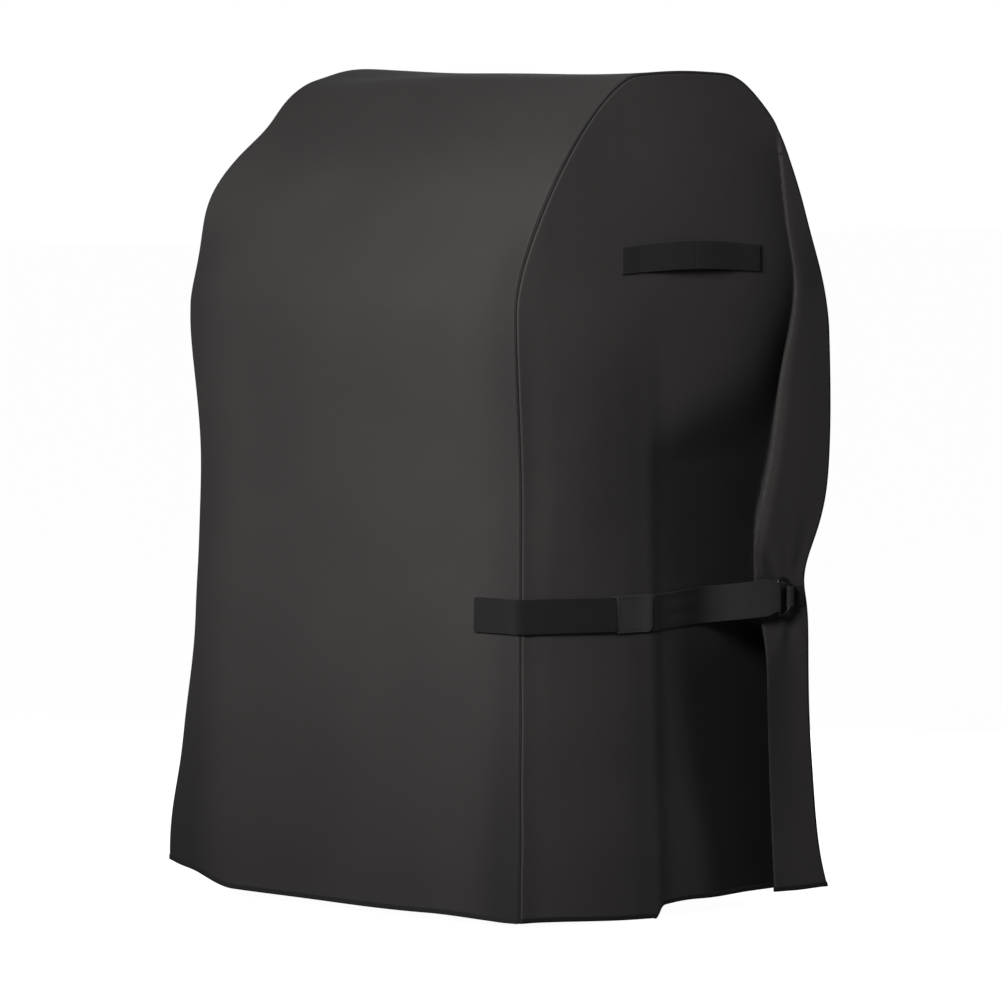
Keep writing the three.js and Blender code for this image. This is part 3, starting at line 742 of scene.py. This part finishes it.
def fuzzy_material(name, dark, light, pile):
    """Hook or loop tape: a dull pile of tiny loops."""
    material = cloth_material(name, dark, light, 0.0012, 0.92, 0.10, 0.35)
    tree = material.node_tree
    place = add_node(tree, "TexCoord", {}).outputs["Object"]
    dots = add_node(tree, "TexVoronoi", {"Vector": place, "Scale": pile}).outputs["Distance"]
    loops = add_node(tree, "Bump", {"Height": dots, "Strength": 0.7, "Distance": 0.0006}, invert=True)
    feed(tree, tree.nodes["Principled BSDF"], {"Normal": loops.outputs["Normal"]})
    return material


def plastic_material(name, colour):
    """Moulded plastic with a fine grain and soft scuffs."""
    material = bpy.data.materials.new(name)
    tree = new_tree(material)
    place = add_node(tree, "TexCoord", {}).outputs["Object"]
    scuffs = noise(tree, place, 120)
    feed(tree, tree.nodes["Principled BSDF"], {
        "Base Color": ramp(tree, scuffs, colour, [c * 1.9 for c in colour]),
        "Normal": bump(tree, noise(tree, place, 900), 0.25, 0.0002),
        "Roughness": spread_value(tree, scuffs, 0.34, 0.52),
    })
    return material


MATERIALS = {
    # cover_cloth and strap_cloth are darkened by the painted shade kept on their meshes
    "cover_cloth": cloth_material("cover_cloth", (0.046, 0.042, 0.041), (0.060, 0.055, 0.053),
                                  0.0007, 0.74, 0.06, 0.18, shaded=True),
    "strap_cloth": cloth_material("strap_cloth", (0.043, 0.042, 0.042), (0.054, 0.053, 0.053),
                                  0.0007, 0.76, 0.06, 0.25, shaded=True),
    "binding_tape": cloth_material("binding_tape", (0.010, 0.010, 0.011), (0.016, 0.016, 0.017),
                                   0.0010, 0.72, 0.05, 0.30),
    "webbing": cloth_material("webbing", (0.015, 0.015, 0.015), (0.024, 0.024, 0.024),
                              0.0022, 0.70, 0.08, 0.55, twill=True),
    "hook_tape": fuzzy_material("hook_tape", (0.0070, 0.0070, 0.0070), (0.0115, 0.0115, 0.0115), 900),
    "loop_tape": fuzzy_material("loop_tape", (0.013, 0.013, 0.014), (0.020, 0.020, 0.021), 700),
    "ring_plastic": plastic_material("ring_plastic", (0.007, 0.007, 0.007)),
    "thread": cloth_material("thread", (0.012, 0.012, 0.012), (0.020, 0.020, 0.020), 0.0006, 0.6, 0.05, 0.3),
}


def finish_piece(obj, body, slot, nodes=(), material=None):
    """Gives a piece the named material, or else its slot's, and its body too unless body is None, as for a
    piece between two bodies.
    """
    obj.data.materials.append(MATERIALS[material or slot])
    if body:
        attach(obj, body)
    if nodes:
        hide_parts(*nodes)
    return obj


SIDES = {"right": 1, "left": -1}


# ------------------------------------------------------------------ places on the cloth
def side_share(y, z):
    """The share of a side's depth at which a place of the given y lies."""
    front, rear = outline(FRONT, np.minimum(z, FRONT_SPRING)), outline(CORNER, np.minimum(z, REAR_SPRING))
    return (y + front) / (rear + front)


def on_side(y, z, side):
    """The cloth's outer face at a place on a side, given for the right side."""
    return lid_bulge(side_point(side_share(y, z), z, side), side)


def beside_seams(share, half):
    """Where a place on the front or back goes beside a seam: its x, and how far it leaves its plane."""
    own, other = seam_offsets(half * (1 - np.abs(share)))
    return share * half + np.sign(share) * other, own


def on_front(share, z):
    """The cloth's outer face on the front, below where it curves over; share is -1 at the left seam and 1 at
    the right one."""
    half = outline(FRONT_HALF, z)
    x, own = beside_seams(share, half)
    return stacked(x, -outline(FRONT, z) - front_push(share * half, z) - own, z)


def on_back(share, z):
    """The cloth's outer face on the back, by the same share."""
    half = outline(REAR_HALF, z)
    x, own = beside_seams(share, half)
    depth = mix(outline(BACK, z), outline(CORNER, z), smooth(*TO_CORNER, np.abs(share)))
    return stacked(x, depth + back_push(share * half, z) + own, z)


def on_side_hem(share, z, side):
    """The cloth's outer face on a side near the hem, with the rounding beside both seams."""
    point = side_point(share, z, side)
    wide = outline(CORNER, z) + outline(FRONT, z)
    own_front, other_front = seam_offsets(share * wide)
    own_rear, other_rear = seam_offsets((1 - share) * wide)
    point[..., 0] += own_front + own_rear
    point[..., 1] += other_rear - other_front
    return point


# ------------------------------------------------------------------ build: panels
def build_panels():
    points = main_grid()
    uv = stacked(points[..., 0], middle_lengths(points)[0][:, None])
    high = points[..., 2]
    beside_seam = np.clip(np.abs(points[..., 0]) / SIDE_X, 0, 1)
    # painted shade: the long panel darker towards the hem and on the top, and darker beside the seams below
    # the top
    shade = 1 - 0.36 * smooth(0.46, 0.05, high) - 0.18 * smooth(0.95, 1.06, high)
    shade = shade - 0.28 * bell(beside_seam, 0.97, 0.14) * smooth(0.95, 0.85, high)
    cloth = sheet_mesh("main_cloth", points, CLOTH, uv, shade=shade)
    finish_piece(cloth, "cover", "cover_cloth", ["main_panel"])
    for name, side in SIDES.items():
        points, shade = side_grid(side)
        cloth = sheet_mesh(f"{name}_side_cloth", points, CLOTH, points[..., 1:], side, shade)
        seam_piping(name, side, points)
        finish_piece(cloth, "cover", "cover_cloth", [f"{name}_side_panel"])


def seam_piping(name, side, points):
    """The dark folded edge in a seam's groove, from the front hem over the top to the rear hem. Its darkness
    is partly the dark thread's own colour and partly painted shade of the groove.
    """
    line = np.concatenate([points[:-1, 0], points[-1], points[::-1, -1][1:]])[1:-1]
    normals = line_normals(line[:, 1:])
    out = unit(stacked(1.0, normals[:, 0], normals[:, 1]))
    beside = np.cross(unit(np.gradient(line, axis=0)), out)
    middle = line + out * PIPING_RISE
    ring = [middle + PIPING * (out * math.cos(a) + beside * math.sin(a)) for a in np.arange(8) * math.pi / 4]
    rows = np.stack(ring + ring[:1])
    cord = make_mesh(f"{name}_seam_piping", rows, grid_quads(*rows.shape[:2], side > 0), side)
    finish_piece(cord, "cover", "binding_tape", material="thread")


# ------------------------------------------------------------------ build: hem bindings
# the folded tape's section: height above the hem in shares of what shows, distance out from the cloth's face
BINDING_SECTION = np.array([
    (1.00, 0.0002), (0.97, 0.0009), (0.85, 0.0011), (0.50, 0.0011), (0.12, 0.0011), (-0.03, 0.0010),
    (-0.11, 0.0004), (-0.13, -CLOTH / 2), (-0.11, -CLOTH - 0.0004), (-0.03, -CLOTH - 0.0010),
    (0.12, -CLOTH - 0.0011), (0.85, -CLOTH - 0.0011), (0.97, -CLOTH - 0.0009), (1.00, -CLOTH - 0.0002),
])


def binding_grid(place, shares, hems, flip):
    """Rows go down the outer face, under the hem and up the inner face; columns follow the hem."""
    low = place(shares, hems)
    high = place(shares, hems + 0.004)
    ahead = unit(np.gradient(low, axis=0))
    up = unit(high - low)
    out = unit(np.cross(ahead, up)) * (-1 if flip else 1)
    grid = np.stack([low + up * (height * BINDING) + out * offset for height, offset in BINDING_SECTION])
    return grid if flip else grid[::-1]


def hem_binding(name, node, place, shares, hems, flip, side=1):
    grid = binding_grid(place, shares, hems, flip)
    length = travelled(grid[0])
    uv = np.stack(np.meshgrid(length, travelled(grid[:, 5])), -1)
    tape = sheet_mesh(name, grid, BINDING_THICK, uv, side)
    finish_piece(tape, "cover", "binding_tape", [node])


def build_bindings():
    near = np.array([0, 1.2, 2.4, 3.6, 5.2, 7.2, 10.0]) * 0.001
    shares = np.concatenate([near / 0.36, np.linspace(0.03, 1.97, 150), 2 - near[::-1] / 0.36]) - 1
    hem_binding("front_binding", "front_hem_binding", on_front, shares, front_hem(shares), False)
    hem_binding("back_binding", "back_hem_binding", on_back, shares, back_hem(shares), True)
    side_shares = np.concatenate([near / 0.56, np.linspace(0.02, 0.98, 220), 1 - near[::-1] / 0.56])
    for name, side in SIDES.items():
        def place(share, z, side=side):
            return on_side_hem(share, z, side)
        hem_binding(f"{name}_side_binding", f"{name}_hem_binding", place, side_shares,
                    side_hem(side_shares, side), False, side)


# ------------------------------------------------------------------ build: inside of the cover
def build_seam_tapes():
    """A tape over each seam's raw edges, on the inner face of the side."""
    for name, side in SIDES.items():
        line = resample(seam_line(side), 0.006)[2:-2]
        normals = line_normals(line)
        rows = []
        for distance in edge_steps(SEAM_TAPE, 0.003) + SEAM_TAPE_IN:
            place = line - normals * distance
            own, other = seam_offsets(np.full(len(line), distance))
            point = on_side(place[:, 0], place[:, 1], side)
            point[:, 0] += own
            point[:, 1:] += normals * other[:, None]
            rows.append(point)
        grid = np.stack(rows)[::-1]
        lift = UNDER_CLOTH - SEAM_TAPE_THICK
        tape = band(f"{name}_inner_tape", grid, lift, SEAM_TAPE_THICK, side, edge=0.0004)
        finish_piece(tape, "cover", "binding_tape", [f"{name}_seam_tape"])


def side_patch(y_from, y_to, z, half, side, radius=0.0, spacing=0.005):
    """A grid of points on a side's outer face for a patch, its middle line at the height z."""
    places = edge_steps(y_to - y_from, spacing) + y_from
    halves = rounded_half(places, half, radius) if radius else np.full(len(places), half)
    rows = edge_steps(2.0, spacing / half, 0.001 / half) - 1
    y = np.broadcast_to(places, (len(rows), len(places)))
    return on_side(y, z + rows[:, None] * halves, side)


def outline_stitches(base, lift, inset):
    """Four lines of stitches that follow a band's edges."""
    normal = grid_normals(base)
    raised = base + normal * lift
    (top, bottom), (first, last) = [
        [int(np.abs(run - inset).argmin()), int(np.abs(run - (run[-1] - inset)).argmin())]
        for run in middle_lengths(base)
    ]
    whole_row, whole_column = slice(first, last + 1), slice(top, bottom + 1)
    lines = [(raised[row, whole_row], normal[row, whole_row]) for row in (top, bottom)]
    return lines + [(raised[whole_column, column], normal[whole_column, column]) for column in (first, last)]


def cross_stitches(base, lift, inset):
    """A box of stitches with a cross in it."""
    lines = outline_stitches(base, lift, inset)
    corners = [lines[0][0][0], lines[0][0][-1], lines[1][0][0], lines[1][0][-1]]
    middle = grid_normals(base)[base.shape[0] // 2, base.shape[1] // 2]
    for a, b in ((corners[0], corners[3]), (corners[1], corners[2])):
        t = np.linspace(0, 1, 12)[:, None]
        lines.append((a + (b - a) * t, np.broadcast_to(middle, (12, 3))))
    return lines


# ------------------------------------------------------------------ build: handles
def handle_lift(y):
    """How far the handle's webbing stands off the side: sewn flat at both ends, bowed between them."""
    loose_front, loose_rear = HANDLE["front"] + HANDLE["sewn"], HANDLE["rear"] - HANDLE["sewn"]
    t = np.clip((y - loose_front) / (loose_rear - loose_front), 0, 1)
    return HANDLE_LIFT + HANDLE["bow"] * np.sin(math.pi * t) ** 1.3


def handle_grid(y, side):
    """The side's cloth under the handle, as a grid; the handle arches up a little towards its middle."""
    t = np.clip((y - HANDLE["front"]) / (HANDLE["rear"] - HANDLE["front"]), 0, 1)
    rise = -0.002 + 0.0065 * np.sin(math.pi * t) ** 1.2
    half = HANDLE["width"] / 2 * (0.95 + 0.06 * np.sin(math.pi * t))
    rows = edge_steps(2.0, 0.2, 0.055) - 1
    z = HANDLE["z"] + rise + rows[:, None] * half
    return on_side(np.broadcast_to(y, z.shape), z, side)


def build_handle_half(name, side, end, start, stop):
    """Half of a handle: sewn flat at its outer end, and free from there to the handle's middle."""
    front = end == "front"
    y = edge_steps(stop - start, 0.004) + start
    base = handle_grid(y, side)
    lift = np.broadcast_to(handle_lift(y), base.shape[:2])
    webbing = band(f"{name}_handle_webbing_{end}", base, lift, HANDLE["thick"], side)
    sewn = (start, start + HANDLE["sewn"]) if front else (stop - HANDLE["sewn"], stop)
    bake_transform(webbing)
    nodes = [f"{name}_handle_{end}_end"] + ([f"{name}_handle_grip"] if front else [])
    finish_piece(webbing, None, "webbing", nodes)
    patch = handle_grid(edge_steps(HANDLE["sewn"], 0.003) + sewn[0], side)
    thread = stitches(f"{name}_handle_thread_{end}",
                      cross_stitches(patch, HANDLE_LIFT + HANDLE["thick"], HANDLE_STITCH_INSET), side)
    finish_piece(thread, "cover", "webbing", material="thread")


def build_handles():
    middle = (HANDLE["front"] + HANDLE["rear"]) / 2
    for name, side in SIDES.items():
        build_handle_half(name, side, "front", HANDLE["front"], middle)
        build_handle_half(name, side, "rear", middle, HANDLE["rear"])
        front, rear = HANDLE["front"] - HANDLE_PATCH["margin"], HANDLE["rear"] + HANDLE_PATCH["margin"]
        backing = side_patch(front, rear, HANDLE["z"], HANDLE_PATCH["half"], side, HANDLE_PATCH["corner"])
        thick = HANDLE_PATCH["thick"]
        patch = band(f"{name}_handle_patch", backing, UNDER_CLOTH - thick, thick, side)
        finish_piece(patch, "cover", "cover_cloth", [f"{name}_handle_backing"])


# ------------------------------------------------------------------ build: straps, tabs and rings
def corner_path(z, side, rear_y, front_x):
    """The cloth's line in plan at one height: the right one runs from the side round the front corner onto
    the front, the left one stays on the side."""
    if side < 0:
        ys = np.linspace(rear_y, LEFT_TAB_FRONT + front_x - TAB["front_x"], 60)
        return stacked(on_side(ys, z, side)[:, 0], ys)
    corner_x, corner_y = float(outline(FRONT_HALF, z)), -float(outline(FRONT, z))
    ys = np.linspace(rear_y, corner_y + SEAM_ROUND, 30)
    along_side = stacked(on_side(ys, z, side)[:, 0], ys)
    turn = np.linspace(0, math.pi / 2, 14)[1:-1]
    centre = np.array([along_side[-1, 0] - SEAM_ROUND, corner_y + SEAM_ROUND])
    arc = centre + SEAM_ROUND * np.stack([np.cos(turn), -np.sin(turn)], 1)
    xs = np.linspace(corner_x - SEAM_ROUND, front_x, 32)
    along_front = stacked(xs, -outline(FRONT, z) - front_push(side * xs, z))
    return np.concatenate([along_side, arc, along_front])


def corner_grid(width, rear_y, front_x, side, radius):
    """A patch on the tab's line. Columns run from the front to the rear."""
    rows = edge_steps(2.0, 0.16, 0.045) - 1
    nominal = float(travelled(corner_path(STRAP["z"], side, rear_y, front_x))[-1])
    shares = edge_steps(nominal, 0.0022) / nominal
    lines = []
    for row in rows:
        fine = corner_path(STRAP["z"] + row * width / 2, side, rear_y, front_x)[::-1]
        length = travelled(fine)
        lines.append(read_along(shares * length[-1], length, fine))
    plan = np.stack(lines)
    halves = rounded_half(shares * nominal, width / 2, radius)
    bowed = mix(0.0025, 0.0, shares) + 0.001 * np.sin(math.pi * shares)
    z = STRAP["z"] + rows[:, None] * halves + bowed
    return np.concatenate([plan, z[..., None]], -1)


def strap_line(side):
    """The strap's middle line in plan: over the side, across the drawn-in part, through the ring and back."""
    ys = np.arange(STRAP["front"], 0.185, 0.0025)
    base = np.linspace(STRAP["front"] - 0.01, 0.150, 120)
    cloth = on_side(base, STRAP["z"], side)
    on_cloth = np.interp(ys, cloth[:, 1], cloth[:, 0]) + 0.0005 + STRAP["thick"] / 2
    bridge = 0.3240 + 0.0245 * smooth(0.065, 0.162, ys) + 0.0057 * smooth(0.145, 0.187, ys)
    x = np.where(ys < CREASE_Y, on_cloth, -soft_min(-on_cloth, -bridge, 0.004))
    x = np.where(ys < CREASE_Y, x, mix(on_cloth, x, smooth(CREASE_Y, CREASE_Y + 0.02, ys)))
    reach = RING_WIRE + 0.0004 + STRAP["thick"] / 2
    turn = np.linspace(math.pi * 0.42, -math.pi / 2, 12)
    loop = np.array([RING_X, RING_FRONT]) + reach * np.stack([np.sin(turn), np.cos(turn)], 1)
    back_ys = np.arange(RING_FRONT - 0.002, 0.158, -0.0025)
    back_x = np.interp(back_ys, ys, x) - STRAP["thick"] - 0.0003
    back_x = mix(back_x, RING_X - reach, smooth(0.178, 0.190, back_ys))
    return np.concatenate([stacked(x, ys), loop, stacked(back_x, back_ys)])


def strap_middle(y):
    """Height of the strap's middle line: it climbs past the crease, and then gently to the ring."""
    climb = RING_Z - STRAP["z"]
    return STRAP["z"] + climb * np.clip((y + 0.02) / 0.20, 0, 1) ** 1.3


def strap_grid(side):
    """The strap's middle layer as a grid. It is a little narrower behind the crease and in the ring."""
    x, y = resample(strap_line(side), 0.0028).T
    narrow = 0.0006 * bell(y, 0.012, 0.045)
    at_ring = 0.0045 * smooth(0.172, 0.187, y)
    rows = edge_steps(2.0, 0.09, 0.045)[:, None] - 1
    z = strap_middle(y) + rows * (STRAP["width"] / 2 - narrow - at_ring)
    gathered = bell(y, 0.02, 0.045) + 0.5 * bell(y, 0.16, 0.05)
    return stacked(x + 0.0003 * np.sin(rows * 7 + 0.5) * gathered, y, z)


def ring_path():
    """The slot ring's middle line: a straight front bar, and a rear bar with large corners."""
    half = RING_HEIGHT / 2 - RING_WIRE
    corners = ((RING_FRONT, -half, 0.005, math.pi), (RING_REAR, -half, 0.014, 1.5 * math.pi),
               (RING_REAR, half, 0.014, 0.0), (RING_FRONT, half, 0.005, 0.5 * math.pi))
    points = []
    for y, z, r, start in corners:
        turn = np.linspace(start, start + math.pi / 2, 9)
        centre = (y + (r if y == RING_FRONT else -r), z + (r if z < 0 else -r))
        points += [(RING_X, centre[0] + r * math.cos(a), RING_Z + centre[1] + r * math.sin(a)) for a in turn]
    ring = np.array(points)
    return resample(np.concatenate([ring, ring[:1]]), 0.0015)[:-1]


def ring_tab_grid(side):
    """The ring's own tab: it holds the rear bar and is sewn to the side behind it, both layers together."""
    reach = RING_WIRE + 0.0011
    ys = np.arange(RING_TAB_REAR, RING_REAR + 0.003, -0.0015)
    skin = on_side(ys, RING_Z, side)[:, 0]
    near = smooth(RING_REAR + 0.011, RING_REAR + 0.003, ys)
    outer = stacked(mix(skin + 0.0028, RING_X + reach, near), ys)
    inner = stacked(mix(skin + 0.0011, RING_X - reach, near), ys)[::-1]
    turn = np.linspace(math.radians(80), math.radians(-80), 12)
    loop = np.array([RING_X, RING_REAR]) + reach * np.stack([np.sin(turn), -np.cos(turn)], 1)
    line = resample(np.concatenate([outer, loop, inner]), 0.0012)[::-1]
    rows = edge_steps(2.0, 0.16, 0.08)[:, None] - 1
    return stacked(line[:, 0], line[:, 1], RING_Z + rows * RING_TAB_WIDTH / 2)


def bend_at_tab(piece):
    """Bakes a strap piece's placement into its mesh."""
    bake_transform(piece)


def build_strap(name, side):
    grid = strap_grid(side)
    y = grid[..., 1]
    # painted shade: the strap darker from the crease on, most where it crosses the drawn-in part
    shade = 1 - 0.28 * smooth(-0.036, -0.020, y) - 0.50 * bell(y, 0.064, 0.042)
    strap = band(f"{name}_strap_cloth", grid, -STRAP["thick"] / 2, STRAP["thick"], side, 0.0007, shade)
    bend_at_tab(strap)
    finish_piece(strap, None, "strap_cloth", [f"{name}_strap"])

    line = strap_line(side)
    ys = edge_steps(STRAP_END, 0.003) + TAB["rear"]
    wide = STRAP["width"] / 2 + 0.0004
    halves = rounded_half(ys, wide, STRAP_END_CORNER)
    halves[:len(ys) // 2] = wide
    rows = edge_steps(2.0, 0.12, 0.04)[:, None] - 1
    forward = line[:int(line[:, 1].argmax())]
    x = np.interp(ys, forward[:, 1], forward[:, 0]) + STRAP["thick"] / 2 + 0.0002
    doubled = stacked(x, ys, strap_middle(ys) + rows * halves)
    patch = band(f"{name}_strap_end", doubled, 0.0, STRAP["thick"], side, edge=0.0008)
    bend_at_tab(patch)
    finish_piece(patch, None, "strap_cloth")
    thread = stitches(f"{name}_strap_thread", outline_stitches(doubled, STRAP["thick"], STITCH_INSET), side)
    bend_at_tab(thread)
    finish_piece(thread, None, "strap_cloth", material="thread")


def build_tab(name, side):
    grid = corner_grid(TAB["width"], TAB["rear"], TAB["front_x"], side, TAB_CORNER)
    tab = band(f"{name}_hook_band", grid, TAB["lift"], TAB["thick"], side)
    finish_piece(tab, f"{name}_tab", "hook_tape", [f"{name}_hook_tab"])
    lines = outline_stitches(grid, TAB["lift"] + TAB["thick"], STITCH_INSET)
    thread = stitches(f"{name}_tab_thread", lines, side)
    finish_piece(thread, f"{name}_tab", "hook_tape", material="thread")

    width = TAB["width"] - LOOP["narrower"]
    rear_y, front_x = TAB["rear"] - LOOP["behind"], TAB["front_x"] + LOOP["beyond"]
    grid = corner_grid(width, rear_y, front_x, side, TAB_CORNER)
    loop = band(f"{name}_loop_band", grid, LOOP["lift"], LOOP["thick"], side)
    finish_piece(loop, "cover", "loop_tape", [f"{name}_loop_patch"])


def build_ring(name, side):
    ring = tube(f"{name}_slot_ring_wire", ring_path(), RING_WIRE, side)
    finish_piece(ring, f"{name}_ring", "ring_plastic", [f"{name}_slot_ring"])
    holder = band(f"{name}_ring_holder", ring_tab_grid(side), -0.0007, 0.0014, side, edge=0.0006)
    finish_piece(holder, "cover", "webbing", [f"{name}_ring_tab"])
    sewn = side_patch(*RING_TAB_SEWN, RING_Z, RING_TAB_WIDTH / 2, side, spacing=0.003)
    lines = cross_stitches(sewn, RING_STITCH_LIFT, RING_STITCH_INSET)
    thread = stitches(f"{name}_ring_thread", lines, side)
    finish_piece(thread, "cover", "webbing", material="thread")
    anchor = side_patch(ANCHOR["front"], ANCHOR["rear"], RING_Z, ANCHOR["half"], side, ANCHOR["corner"])
    patch = band(f"{name}_anchor_patch", anchor, UNDER_CLOTH - ANCHOR["thick"], ANCHOR["thick"], side)
    finish_piece(patch, "cover", "cover_cloth", [f"{name}_ring_anchor"])


build_panels()
build_bindings()
build_seam_tapes()
build_handles()
for side_name, side_sign in SIDES.items():
    build_strap(side_name, side_sign)
    build_tab(side_name, side_sign)
    build_ring(side_name, side_sign)


# ------------------------------------------------------------------ stage, lights, camera
def make_floor(half, colour, glow):
    """A pale floor. What it sends back to the cover is kept low, as on a set with a small white sweep."""
    mesh = bpy.data.meshes.new("floor")
    corners = [(-half, -half, 0), (half, -half, 0), (half, half, 0), (-half, half, 0)]
    mesh.from_pydata(corners, [], [(0, 1, 2, 3)])
    floor = linked("floor", mesh)
    material = bpy.data.materials.new("floor_paint")
    tree = new_tree(material)
    paint = tree.nodes["Principled BSDF"]
    feed(tree, paint, {"Base Color": (*colour, 1), "Roughness": 0.9, "Specular IOR Level": 0.1})
    glowing = add_node(tree, "Emission", {"Color": (1, 1, 1, 1), "Strength": glow}).outputs["Emission"]
    lit = add_node(tree, "AddShader", {0: paint.outputs["BSDF"], 1: glowing}).outputs["Shader"]
    seen = add_node(tree, "LightPath", {}).outputs["Is Camera Ray"]
    either = add_node(tree, "MixShader", {"Fac": seen, 1: paint.outputs["BSDF"], 2: lit}).outputs["Shader"]
    feed(tree, tree.nodes["Material Output"], {"Surface": either})
    mesh.materials.append(material)


def make_world(seen, given):
    """A white room: how bright it looks, and how bright it shines on the cover."""
    world = bpy.data.worlds.new("studio")
    tree = new_tree(world)
    tree.nodes.clear()
    room, backdrop = (add_node(tree, "Background", {"Color": (1, 1, 1, 1), "Strength": strength})
                      for strength in (given, seen))
    by_camera = add_node(tree, "LightPath", {}).outputs["Is Camera Ray"]
    shown = {"Fac": by_camera, 1: room.outputs["Background"], 2: backdrop.outputs["Background"]}
    either = add_node(tree, "MixShader", shown).outputs["Shader"]
    add_node(tree, "OutputWorld", {"Surface": either})
    bpy.context.scene.world = world


def aim(made, azimuth, distance, height, target):
    """Stands something round the cover, at an azimuth in degrees from the front, and turns it to a target."""
    turn = math.radians(azimuth)
    place = Vector((math.sin(turn) * distance, -math.cos(turn) * distance, height))
    made.location = place
    made.rotation_mode = "QUATERNION"
    made.rotation_quaternion = (Vector(target) - place).to_track_quat("-Z", "Y")


def area_light(name, azimuth, height, distance, size, power, target=(0, 0, 0.7)):
    light = bpy.data.lights.new(name, "AREA")
    light.shape = "SQUARE"
    light.size = size
    light.energy = power
    aim(linked(name, light), azimuth, distance, height, target)


def make_camera(azimuth, distance, height, target_z, lens):
    data = bpy.data.cameras.new("camera")
    data.lens = lens
    data.sensor_width = 36
    data.clip_end = 60
    camera = linked("camera", data)
    aim(camera, azimuth, distance, height, (0, 0, target_z))
    bpy.context.scene.camera = camera


make_floor(half=30.0, colour=(0.20, 0.20, 0.20), glow=0.975)
make_world(seen=1.0, given=0.045)
area_light("key", azimuth=31, height=1.65, distance=2.5, size=0.8, power=58)
area_light("fill", azimuth=-32, height=1.5, distance=3.0, size=1.4, power=9)
area_light("back", azimuth=222, height=0.75, distance=3.0, size=1.2, power=60, target=(0, 0, 0.6))
bpy.context.scene.view_settings.view_transform = "Standard"
make_camera(azimuth=50.13, distance=12.45, height=1.181, target_z=0.539, lens=330.8)
